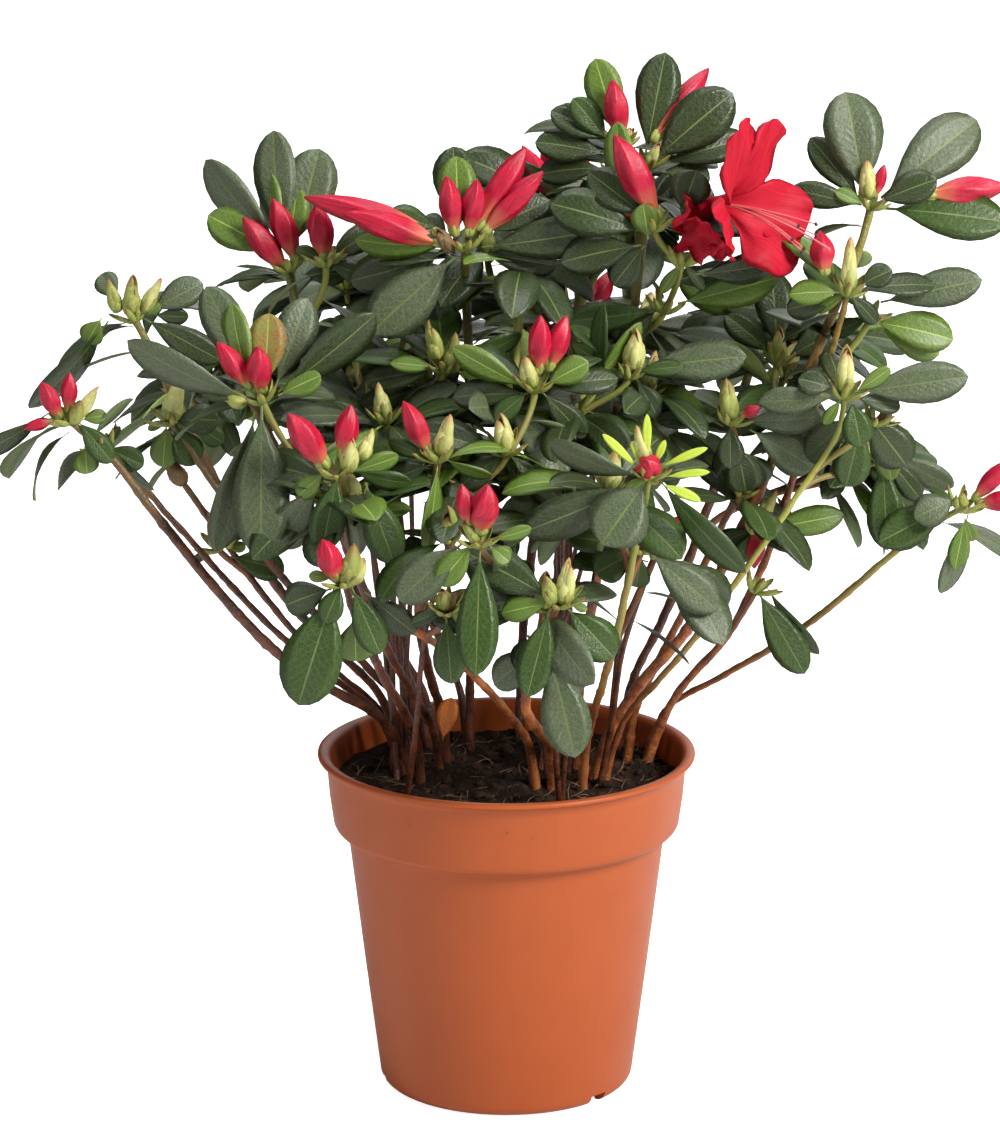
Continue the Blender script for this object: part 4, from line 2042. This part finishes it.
    def bracts(
        self, heart: Heart, foot: Vector, along: Vector, kind: BudKind, count: int, long: float, wide: float,
        flare: float,
    ) -> None:
        """Adds a ring of small bracts round a foot.

        Args:
            heart: The shoot.
            foot: Where they start.
            along: The way they stand round.
            kind: Their colour.
            count: How many.
            long: Their length in metres.
            wide: Their width in metres.
            flare: How far they lean outwards.
        """
        rng = self.rng
        right, axis, face = basis(along, FRONT)
        start = rng.uniform(0, 2 * math.pi)
        for index in range(count):
            turn = start + 2 * math.pi * index / count
            out = right * math.cos(turn) + face * math.sin(turn)
            way = (axis + out * flare * rng.uniform(0.6, 1.4)).normalized()
            start_place, tall = foot + out * wide * 0.15, long * rng.uniform(0.75, 1.2)
            points = place_pattern(self.scale_form, start_place, way, out, tall, wide)
            self.scales[kind].add(self.scale_form, points)
        self.scales[kind].stands_for.add(heart.node)

    def scaly_bud(
        self, heart: Heart, foot: Vector, along: Vector, kind: BudKind, long: float, wide: float
    ) -> None:
        """Adds a closed bud of overlapping scales.

        Args:
            heart: The shoot.
            foot: Where it starts.
            along: Where it points.
            kind: Its colour.
            long: Its length in metres.
            wide: Its width in metres.
        """
        outer = BudKind.GREEN if kind is BudKind.PALE else kind
        long *= 0.87
        self.bracts(heart, foot, along, kind, 4, long, wide * 0.66, -0.06)
        self.bracts(heart, foot, along, kind, 4, long * 0.80, wide * 0.70, -0.01)
        self.bracts(heart, foot, along, outer, 5, long * 0.52, wide * 0.60, 0.12)

    # ------------------------------------------------ all together

    def grow(self) -> None:
        """Grows the whole plant."""
        self.set_shoots()
        self.grow_limbs()
        self.grow_twigs()
        carriers = {id(h): self.limbs[h.shoot.limb] for h in self.hearts if h.shoot.limb}
        others = [h for h in self.hearts if not h.shoot.limb]
        by_tip = {tuple(line.points[-1]): line for line in self.twigs}
        for heart in others:
            carriers[id(heart)] = by_tip[tuple(heart.place)]
        for heart in self.hearts:
            for leaf in heart.shoot.leaves:
                self.set_leaf(heart, leaf)
            self.fill_shoot(heart)
            self.lower_leaves(heart, carriers[id(heart)])
            for bud in heart.shoot.buds:
                self.set_bud(heart, bud)
            below = heart.place - heart.axis * 1.5 * MM
            self.bracts(heart, below, heart.axis, BudKind.RING, 7, 8 * MM, 2.3 * MM, 1.1)
        dry = LeafPose(self.dry_place, UP + Vector((0.2, -0.1, 0)), FRONT, 14 * MM, 7 * MM, 0.8, 0.5, 0.6)
        self.add_leaf(Tint.DRY, dry, self.mass_prefix + "front_left")
        line = self.limbs[self.bare_tip]
        tip, end = line.points[-1], line.tangent(len(line.points) - 1)
        bare = Heart(Shoot("west_mid", (0, 0, 0)), tip, end)
        self.scaly_bud(bare, tip - end * 1.5 * MM, end, BudKind.BROWN, 11 * MM, 6.5 * MM)

    def wood(
        self, name: str, lines: Sequence[Line], sides: int, relief: float, finish: Finish,
        nodes: Iterable[str],
    ) -> None:
        """Makes one piece of limbs or twigs with bark relief.

        Args:
            name: The piece's name.
            lines: The limbs' or twigs' lines.
            sides: How many sides each has.
            relief: How deep the bark's relief is, in metres.
            finish: The bark's finish.
            nodes: The solids that the piece stands for.
        """
        piece = tube_piece(name, lines, sides)
        displace(piece, self.relief, relief)
        keep_modifiers(piece)
        smooth_by_angle(piece, 60)
        dress(piece, self.paints.of(finish))
        finish_piece(piece, nodes)

    def build(self) -> None:
        """Makes the plant's pieces."""
        self.grow()
        for name, line in self.limbs.items():
            finish = BARK_OLIVE if name in self.olive else BARK_BRIGHT if name in self.bright else BARK
            self.wood("bark_" + name, [line], 10, 0.5 * MM, finish, [self.stem_prefix + name])
        masses = {heart.node for heart in self.hearts}
        self.wood("twigs", self.twigs, 8, 0.15 * MM, TWIG_BARK, masses)
        masses = [self.mass_prefix + mass for mass in self.shank_masses]
        self.wood("thin_stems", self.grow_shanks(), 8, 0.25 * MM, BARK, masses)
        for tint, batch in self.leaves.items():
            young = tint in (Tint.FRESH, Tint.LIME, Tint.BRONZE)
            rib, under = (MIDRIB_FRESH, UNDERSIDE_FRESH) if young else (MIDRIB, UNDERSIDE)
            materials = [self.paints.of(finish) for finish in (LEAF_FINISHES[tint], rib, under)]
            finish_piece(batch.piece(f"foliage_{tint.value}", materials), batch.stands_for)
        reds = self.red_buds.piece("buds_red", [self.paints.of(f) for f in (BUD_RED, CALYX)])
        finish_piece(reds, self.red_buds.stands_for)
        for kind, finish in self.scale_finishes:
            batch = self.scales[kind]
            piece = batch.piece(f"bud_scales_{kind.value}", [self.paints.of(finish)])
            finish_piece(piece, batch.stands_for)


# ---------------------------------------------------------------- pot and compost


@dataclass
class Pot:
    """The round nursery pot: a thin tapered wall with a deep collar, a rolled lip and three drain slots."""

    paints: Paints
    steps: int = 128
    slot_turns: tuple[float, ...] = (192.0, 316.5, 70.0)
    slot_size: tuple[float, float, float] = (12 * MM, 6.3 * MM, 6.8 * MM)
    foot: float = 40.3
    foot_round: float = 4.0
    body: float = 50.2
    collar: float = 54.8

    def profile(self) -> list[tuple[float, float]]:
        """The wall's section, from the middle of the floor's underside, up and over the lip, and down.

        Returns:
            Radius and height of each corner.
        """
        low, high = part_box("pot")
        rim, top = (high.x - low.x) / 2 / MM, high.z / MM
        foot, corner, body, collar = self.foot, self.foot_round, self.body, self.collar
        outside = [(0, 2.2), (20, 2.2), (34.4, 2.2), (35.3, 1.6), (35.6, 0.5), (36.0, 0)]
        for step in range(8):
            turn = math.radians(-90 + 83 * step / 7)
            outside.append((foot - corner + corner * math.cos(turn), corner + corner * math.sin(turn)))
        outside += [(45.2, 42), (body - 0.1, 82.2), (body + 0.1, 83.2), (body + 0.5, 83.7)]
        outside += [(body + 1.2, 83.9)]
        for step in range(1, 8):
            turn = math.radians(-80 + 78 * step / 7)
            outside.append((collar - 3.2 + 3.2 * math.cos(turn), 87.2 + 3.2 * math.sin(turn)))
        outside += [(collar + 1.1, 95), (rim - 3.0, top - 5.2), (rim - 2.8, top - 3.8)]
        outside += [(rim - 2.3, top - 2.7)]
        outside += [(rim - 1.5, top - 2.0), (rim - 0.5, top - 1.6), (rim - 0.1, top - 1.3), (rim, top - 0.8)]
        outside += [(rim - 0.15, top - 0.35), (rim - 0.6, top - 0.05), (rim - 1.3, top)]
        inside = [
            (rim - 2.7, top - 0.15), (rim - 3.6, top - 0.7), (rim - 4.1, top - 1.7), (rim - 4.3, top - 3.5),
            (collar - 1.3, 88.0), (collar - 1.9, 86.0), (body - 0.4, 84.6), (body - 1.3, 83.0),
            (foot - 1.2, 5.4), (foot - 2.2, 3.9), (foot - 4.2, 3.4), (20, 3.4), (0, 3.4),
        ]
        return [(radius * MM, height * MM) for radius, height in outside + inside]

    def build(self) -> None:
        """Models the pot: a chain of edges is extruded along the section and spun, and the slots are cut."""
        section = self.profile()
        bpy.ops.mesh.primitive_plane_add(size=0.002)
        pot = bpy.context.active_object
        pot.name = "nursery_pot"
        with editing(pot) as edit:
            choose(edit, lambda p: p.x > 0 or p.y > 0)
            bpy.ops.mesh.delete(type="VERT")
            choose(edit, lambda p: True)
            only = next(iter(edit.verts)).co
            bpy.ops.transform.translate(value=(section[0][0] - only.x, -only.y, section[0][1] - only.z))
            for (r0, z0), (r1, z1) in zip(section, section[1:]):
                bpy.ops.mesh.extrude_vertices_move(TRANSFORM_OT_translate={"value": (r1 - r0, 0, z1 - z0)})
            select_whole()
            bpy.ops.mesh.spin(steps=self.steps, angle=2 * math.pi, center=(0, 0, 0), axis=(0, 0, 1))
            merge_doubles(0.02 * MM)
        for turn in self.slot_turns:
            self.cut_slot(pot, turn)
        smooth_by_angle(pot, 38)
        dress(pot, self.paints.of(POT_PLASTIC))
        finish_piece(pot, ["pot"])

    def cut_slot(self, pot: bpy.types.Object, degrees: float) -> None:
        """Cuts one drain slot through the foot of the wall.

        Args:
            pot: The pot.
            degrees: Where the slot is.
        """
        deep, wide, high = self.slot_size
        radius, turn = self.foot * MM, math.radians(degrees)
        place = (math.cos(turn) * radius, math.sin(turn) * radius, 0)
        bpy.ops.mesh.primitive_cube_add(size=1, location=place)
        block = bpy.context.active_object
        block.scale = (deep, wide, high)
        block.rotation_euler.z = turn
        settle(block)
        cut = pot.modifiers.new("slot", "BOOLEAN")
        cut.object = block
        cut.operation = "DIFFERENCE"
        cut.solver = "EXACT"
        keep_modifiers(pot)
        bpy.data.objects.remove(block)


@dataclass
class Compost:
    """The dark peat in the pot: a lumpy top with crumbs and fibres, over a plain root ball."""

    paints: Paints
    rings: int = 26
    segments: int = 96
    crumbs: int = 950
    fibres: int = 230
    seed: int = 7
    relief: tuple[tuple[str, float, float], ...] = (
        ("clods", 17, 8.0), ("lumps", 6, 4.8), ("crumble", 2.4, 2.6),
    )

    def radius(self) -> float:
        """The radius of the compost's top, up to the pot's wall."""
        low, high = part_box("pot")
        return (high.x - low.x) / 2 - 5.3 * MM

    def build(self) -> None:
        """Makes the ball of compost, its crumbs and its fibres."""
        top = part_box("soil")[1].z
        radius = self.radius()
        bpy.ops.mesh.primitive_circle_add(
            vertices=self.segments, radius=radius, fill_type="NGON", location=(0, 0, top)
        )
        soil = bpy.context.active_object
        soil.name = "compost_ball"
        settle(soil)
        with editing(soil) as edit:
            select_whole()
            for height, size in ((88 * MM, 0.965), (81 * MM, 0.885), (8 * MM, 0.70), (3.7 * MM, 0.66)):
                bpy.ops.mesh.extrude_region_move()
                here = next(v.co.z for v in edit.verts if v.select)
                now = max(math.hypot(v.co.x, v.co.y) for v in edit.verts if v.select)
                bpy.ops.transform.translate(value=(0, 0, height - here))
                ratio = radius * size / now
                bpy.ops.transform.resize(value=(ratio, ratio, 1), center_override=(0, 0, height))
            edit.faces.ensure_lookup_table()
            bpy.ops.mesh.select_all(action="DESELECT")
            for face in edit.faces:
                if len(face.verts) > 4 and face.calc_center_median().z > top - MM:
                    face.select = True
            for _ in range(self.rings):
                bpy.ops.mesh.inset(thickness=radius / (self.rings + 1), depth=0)
            bpy.ops.mesh.poke()
            select_whole()
            bpy.ops.mesh.normals_make_consistent(inside=False)
        self.shape_top(soil, top, radius)
        smooth_by_angle(soil, 70)
        dress(soil, self.paints.of(COMPOST))
        finish_piece(soil, ["soil"])
        self.scatter(soil, top, radius)

    def shape_top(self, soil: bpy.types.Object, top: float, radius: float) -> None:
        """Raises lumps on the top face, lower ones near the wall.

        Args:
            soil: The ball of compost.
            top: The height of its top.
            radius: Its radius.
        """
        group = soil.vertex_groups.new(name="top")
        for vertex in soil.data.vertices:
            if vertex.co.z > top - 0.5 * MM:
                out = math.hypot(vertex.co.x, vertex.co.y) / radius
                group.add([vertex.index], 1.0 if out < 0.9 else 0.45, "REPLACE")
        for name, size, strength in self.relief:
            displace(soil, relief_texture(name, size * MM), strength * MM, 0.52, "Z", group.name)
        keep_modifiers(soil)

    def scatter(self, soil: bpy.types.Object, top: float, radius: float) -> None:
        """Strews crumbs and fibres over the top.

        Args:
            soil: The ball of compost, with its top shaped.
            top: The height of its top.
            radius: Its radius.
        """
        rng = np.random.default_rng(self.seed)
        bpy.ops.mesh.primitive_ico_sphere_add(subdivisions=2, radius=0.5)
        crumb = bpy.context.active_object
        displace(crumb, relief_texture("crumb_relief", 0.35), 0.34)
        keep_modifiers(crumb)
        form = Pattern.of(crumb)
        crumbs, fibres = Batch(), []
        for _ in range(self.crumbs):
            foot = self.ground(soil, top, radius, rng)
            turn = Matrix.Rotation(rng.uniform(0, 6.28), 3, "Z")
            turn = turn @ Matrix.Rotation(rng.uniform(0, 6.28), 3, "X")
            size = rng.lognormal(0.5, 0.5) * MM
            stretch = np.array([1.0, rng.uniform(0.6, 1.0), rng.uniform(0.5, 0.9)]) * min(size, 6 * MM)
            crumbs.add(form, np.array(foot) + (form.points * stretch) @ np.array(turn).T)
        for _ in range(self.fibres):
            foot = self.ground(soil, top, radius, rng)
            way = Vector((*rng.normal(0, 1, 2), rng.uniform(-0.1, 0.5))).normalized()
            bend = Vector(rng.normal(0, 0.5, 3))
            long = rng.uniform(3, 11) * MM
            points = [foot + way * long * t + bend * long * t * (t - 1) * 0.7 for t in (0, 0.3, 0.6, 1)]
            fibres.append(Line(points, [r * MM for r in (0.16, 0.2, 0.16, 0.07)]))
        piece = crumbs.piece("peat_crumbs", [self.paints.of(CRUMB)])
        finish_piece(piece, ["soil"])
        strands = tube_piece("peat_fibres", fibres, 4)
        dress(strands, self.paints.of(FIBRE))
        finish_piece(strands, ["soil"])

    def ground(self, soil: bpy.types.Object, top: float, radius: float, rng: np.random.Generator) -> Vector:
        """A chance place on the compost's surface.

        Args:
            soil: The ball of compost.
            top: The height of its top before shaping.
            radius: Its radius.
            rng: The random numbers.

        Returns:
            The place.
        """
        out, turn = radius * 0.95 * math.sqrt(rng.uniform()), rng.uniform(0, 2 * math.pi)
        above = Vector((out * math.cos(turn), out * math.sin(turn), top + 30 * MM))
        hit, place, _, _ = soil.ray_cast(above, -UP)
        return place if hit else Vector((above.x, above.y, top))


# ---------------------------------------------------------------- bloom


@dataclass
class PetalForm(BladeForm):
    """One petal, flat: its foot is a fifth of the flower's tube, and its lobe is broad with a rounded end."""

    rows: tuple[float, ...] = (
        0.0, 0.08, 0.16, 0.24, 0.32, 0.39, 0.46, 0.53, 0.60, 0.67, 0.74, 0.80, 0.86, 0.91, 0.95, 0.98, 1.0,
    )
    columns: tuple[float, ...] = (-0.5, -0.40, -0.28, -0.14, 0.0, 0.14, 0.28, 0.40, 0.5)
    under_columns: tuple[float, ...] = (-0.5, -0.40, -0.28, -0.14, 0.0, 0.14, 0.28, 0.40, 0.5)
    rise: float = 0.006
    tube: float = 0.30
    tube_foot: float = 0.12
    tube_mouth: float = 0.60

    def breadth(self, along: float) -> float:
        """The petal's width at a share of its length."""
        if along < self.tube:
            return self.tube_foot + (self.tube_mouth - self.tube_foot) * (along / self.tube) ** 1.3
        share = (along - self.tube) / (1 - self.tube)
        grow = min(1.0, share / 0.3)
        full = self.tube_mouth + (1 - self.tube_mouth) * grow * grow * (3 - 2 * grow)
        return full * math.sqrt(max(0.0, 1 - max(0.0, (share - 0.5) / 0.5) ** 2.6))


@dataclass(frozen=True)
class Lobe:
    """How one petal of a flower stands: turn and lean place it about the axis, in degrees from upright.

    Its foot stands at turn and its lobe further on by lean. flare is how far it opens, in radians.
    """

    turn: float
    lean: float
    flare: float
    long: float = 1.0
    wide: float = 1.0
    wave: float = 1.0


@dataclass
class Flower:
    """A five-lobed funnel flower, from its foot along its axis."""

    foot: Vector
    along: Vector
    lobes: tuple[Lobe, ...]
    length: float = 34 * MM
    width: float = 20 * MM
    mouth: float = 0.75
    crumple: float = 1.0
    steps: int = 80

    def spine(self, form: PetalForm, lobe: Lobe) -> tuple[np.ndarray, np.ndarray, np.ndarray]:
        """A petal's middle line: how it opens step by step.

        Args:
            form: The petal's form.
            lobe: How it stands.

        Returns:
            Its angle from the axis, its distance from the axis and its height, at even steps.
        """
        along = np.linspace(0, 1, self.steps)
        open_share = np.clip((along - form.tube * 0.8) / 0.42, 0, 1)
        flare = lobe.flare * open_share**2 * (3 - 2 * open_share)
        angle = self.mouth * np.clip(along / form.tube, 0, 1) + flare
        step = self.length * lobe.long / self.steps
        start = form.tube_foot * self.width / (2 * math.tan(math.pi / 5))
        return angle, start + np.cumsum(np.sin(angle)) * step, np.cumsum(np.cos(angle)) * step

    def lay(self, pattern: Pattern, form: PetalForm, lobe: Lobe, phase: float) -> np.ndarray:
        """The places of one petal's vertices.

        Args:
            pattern: The flat petal.
            form: Its form.
            lobe: How it stands.
            phase: Where the waves of its edge start.

        Returns:
            The vertex places.
        """
        x, y, z = pattern.points.T
        steps = np.linspace(0, 1, self.steps)
        angle, out, up = (np.interp(y, steps, values) for values in self.spine(form, lobe))
        beyond = np.clip((y - form.tube) / 0.35, 0, 1)
        flat = beyond * beyond * (3 - 2 * beyond)
        x = x * self.width * (1 + (lobe.wide - 1) * flat)
        round_share = np.clip(x / np.maximum(out, MM), -0.66, 0.66)
        inward = (1 - flat) * out * (1 - np.cos(round_share))
        across = (1 - flat) * out * np.sin(round_share) * 1.04 + flat * x
        edge = np.abs(x) / (self.width * 0.5)
        ripple = 1.5 * MM * lobe.wave * flat * edge**2 * np.sin(15 * y + phase + 2.2 * np.sign(x))
        groove = -1.1 * MM * flat * np.exp(-((x / (1.6 * MM)) ** 2))
        recurve = -1.6 * MM * flat * edge**2
        waves = np.sin(9 * y + 0.5 * x / MM + phase) * np.cos(0.8 * x / MM - phase)
        folds = 1.3 * MM * self.crumple * flat * waves
        inward = inward + ripple + groove + recurve + folds + z * self.length
        out, up = out - np.cos(angle) * inward, up + np.sin(angle) * inward
        turn = np.radians(lobe.turn + lobe.lean * flat)
        right, tall, front = (np.array(v) for v in basis(self.along, UP))
        away = np.outer(np.cos(turn), front) + np.outer(np.sin(turn), right)
        side = np.cross(tall, away)
        return np.array(self.foot) + across[:, None] * side + out[:, None] * away + np.outer(up, tall)

    def grow(self, batch: Batch, pattern: Pattern, form: PetalForm) -> None:
        """Adds all petals to a batch."""
        for index, lobe in enumerate(self.lobes):
            batch.add(pattern, self.lay(pattern, form, lobe, 1.7 * index))


OPEN_LOBES = (
    Lobe(46, -28, 0.62, 1.06, 0.95, 1.0), Lobe(-26, 4, 0.50, 1.02, 0.80, 1.0),
    Lobe(-98, -8, 0.30, 1.0, 1.0, 1.3), Lobe(-170, 32, 0.42, 1.04, 1.1, 1.3),
    Lobe(118, -6, 0.25, 0.82, 1.05, 1.3),
)
HALF_LOBES = (
    Lobe(10, 20, 0.10, 1.0, 1.0, 1.6), Lobe(-62, 30, -0.30, 0.94, 1.0, 1.8),
    Lobe(-134, 20, 0.15, 0.88, 1.0, 1.6), Lobe(154, 30, -0.25, 0.84, 1.0, 1.8),
    Lobe(82, 20, -0.40, 1.02, 1.0, 1.6),
)


@dataclass
class Bloom:
    """The open flower at the upper right of the crown and the half-open one beside it."""

    paints: Paints
    plant: Plant
    node: str = "bloom_open"
    stamens: int = 6
    seed: int = 3
    shares: tuple[float, ...] = (0.2, 0.45, 0.7, 0.88, 1.0)
    axis: Vector = field(default_factory=lambda: Vector((0.82, -0.55, 0.02)).normalized())
    half_axis: Vector = field(default_factory=lambda: Vector((0.66, -0.40, 0.62)).normalized())

    def foot(self) -> Vector:
        """The open flower's foot, from the low left end of its solid."""
        corners = solid_points(self.node)
        return Vector(corners[np.argmin(corners[:, 0])]) + Vector((2.5, 0, 2.5)) * MM

    def stamens_of(self, flower: Flower) -> None:
        """The filaments with their anthers, which stand out of the open flower.

        Args:
            flower: The flower.
        """
        rng = np.random.default_rng(self.seed)
        right, tall, front = basis(flower.along, UP)
        lines, tips = [], []
        for index in range(self.stamens):
            turn = 2 * math.pi * index / self.stamens
            out = right * math.cos(turn) + front * math.sin(turn)
            long = rng.uniform(32, 38) * MM
            bow = out * 4.5 * MM - UP * 8 * MM
            points = [flower.foot + tall * long * t + bow * t * t for t in self.shares]
            lines.append(Line(points, [r * MM for r in (0.35, 0.3, 0.26, 0.24, 0.2)]))
            tips.append((points[-1], (points[-1] - points[-2]).normalized()))
        points = [flower.foot + tall * 43 * MM * t - UP * 11 * MM * t * t for t in self.shares]
        lines.append(Line(points, [r * MM for r in (0.4, 0.34, 0.3, 0.3, 0.55)]))
        threads = tube_piece("stamen_threads", [line.refined(3 * MM) for line in lines], 6)
        smooth_by_angle(threads, 70)
        dress(threads, self.paints.of(STAMEN))
        finish_piece(threads, [self.node])
        bpy.ops.mesh.primitive_uv_sphere_add(segments=8, ring_count=6, radius=0.5)
        grain = bpy.context.active_object
        with editing(grain) as edit:
            choose(edit, lambda p: abs(p.z) < 0.1)
            bpy.ops.transform.resize(value=(0.8, 0.8, 1), center_override=(0, 0, 0))
        form = Pattern.of(grain)
        batch = Batch()
        for tip, way in tips:
            batch.add(form, place_pattern(form, tip, way.cross(UP) + way * 0.6, FRONT, 2.2 * MM, 1.2 * MM))
        finish_piece(batch.piece("anthers", [self.paints.of(ANTHER)]), [self.node])

    def build(self) -> None:
        """Makes both flowers."""
        form = PetalForm()
        pattern = form.build()
        batch = Batch()
        full = Flower(self.foot(), self.axis, OPEN_LOBES)
        full.grow(batch, pattern, form)
        heart = next(h for h in self.plant.hearts if h.shoot.name == HALF_BLOOM)
        foot = heart.place + Vector((-2, 0, 3)) * MM
        half = Flower(foot, self.half_axis, HALF_LOBES, 20 * MM, 14 * MM, 0.55, 2.2)
        half.grow(batch, pattern, form)
        petal = self.paints.of(PETAL)
        finish_piece(batch.piece("flowers", [petal, petal, petal]), [self.node])
        self.stamens_of(full)


# ---------------------------------------------------------------- studio


@dataclass
class Studio:
    """Plain pale floor, soft light and the camera."""

    paints: Paints
    distance: float = 1.6
    height: float = 0.592
    sideways: float = -0.002
    pitch: float = 14.86
    lens: float = 167.0
    look_at: float = 0.19
    floor_radius: float = 5.0
    floor_drop: float = 0.05 * MM

    def lamp(
        self, name: str, place: Sequence[float], size: Sequence[float], power: float, warmth: float = 1.0
    ) -> None:
        """Adds a soft box that looks at the crown.

        Args:
            name: The lamp's name.
            place: Where it stands.
            size: Its width and height.
            power: Its power in watts.
            warmth: Its blue against its red.
        """
        data = bpy.data.lights.new(name, "AREA")
        data.shape = "RECTANGLE"
        data.size, data.size_y = size
        data.energy = power
        data.color = (1.0, (1.0 + warmth) / 2, warmth)
        lamp = bpy.data.objects.new(name, data)
        lamp.location = place
        target = Vector((0, 0, self.look_at))
        lamp.rotation_euler = (target - lamp.location).to_track_quat("-Z", "Y").to_euler()
        bpy.context.scene.collection.objects.link(lamp)

    def build(self) -> None:
        """Makes the floor, the lamps, the world and the camera."""
        place = (0, 0, -self.floor_drop)
        bpy.ops.mesh.primitive_circle_add(
            vertices=96, radius=self.floor_radius, fill_type="NGON", location=place
        )
        floor = bpy.context.active_object
        floor.name = "studio_floor"
        with editing(floor):
            select_whole()
            bpy.ops.mesh.inset(thickness=3.5, depth=0)
        settle(floor)
        dress(floor, self.paints.of(FLOOR))
        self.lamp("key", (1.15, -0.9, 1.15), (0.6, 0.75), 52, 0.95)
        self.lamp("top", (-0.1, 0.15, 1.6), (1.0, 1.0), 16)
        self.lamp("fill", (-1.5, -1.1, 0.7), (0.9, 1.2), 9)
        self.lamp("back", (0.5, 1.6, 0.9), (1.4, 1.0), 8)
        world = bpy.data.worlds.new("studio")
        bpy.context.scene.world = world
        world.use_nodes = True
        weave = Weave(world.node_tree)
        background = world.node_tree.nodes["Background"]
        background.inputs["Color"].default_value = (1, 1, 1, 1)
        seen = weave.add("LightPath").outputs["Is Camera Ray"]
        weave.join(weave.math("MULTIPLY_ADD", seen, 0.84, 0.16), background.inputs["Strength"])
        data = bpy.data.cameras.new("camera")
        data.lens = self.lens
        data.sensor_width = 36
        camera = bpy.data.objects.new("camera", data)
        camera.location = (self.sideways, -self.distance, self.height)
        camera.rotation_euler = (math.radians(90 - self.pitch), 0, 0)
        bpy.context.scene.collection.objects.link(camera)
        bpy.context.scene.camera = camera
        bpy.context.scene.view_settings.view_transform = "Standard"


def main() -> None:
    """Builds the potted azalea and its studio, piece by piece."""
    logging.basicConfig(level=logging.INFO, format="%(name)s %(message)s")
    paints = Paints()
    Studio(paints).build()
    Pot(paints).build()
    Compost(paints).build()
    plant = Plant(paints)
    plant.build()
    Bloom(paints, plant).build()


if __name__ == "__main__":
    main()
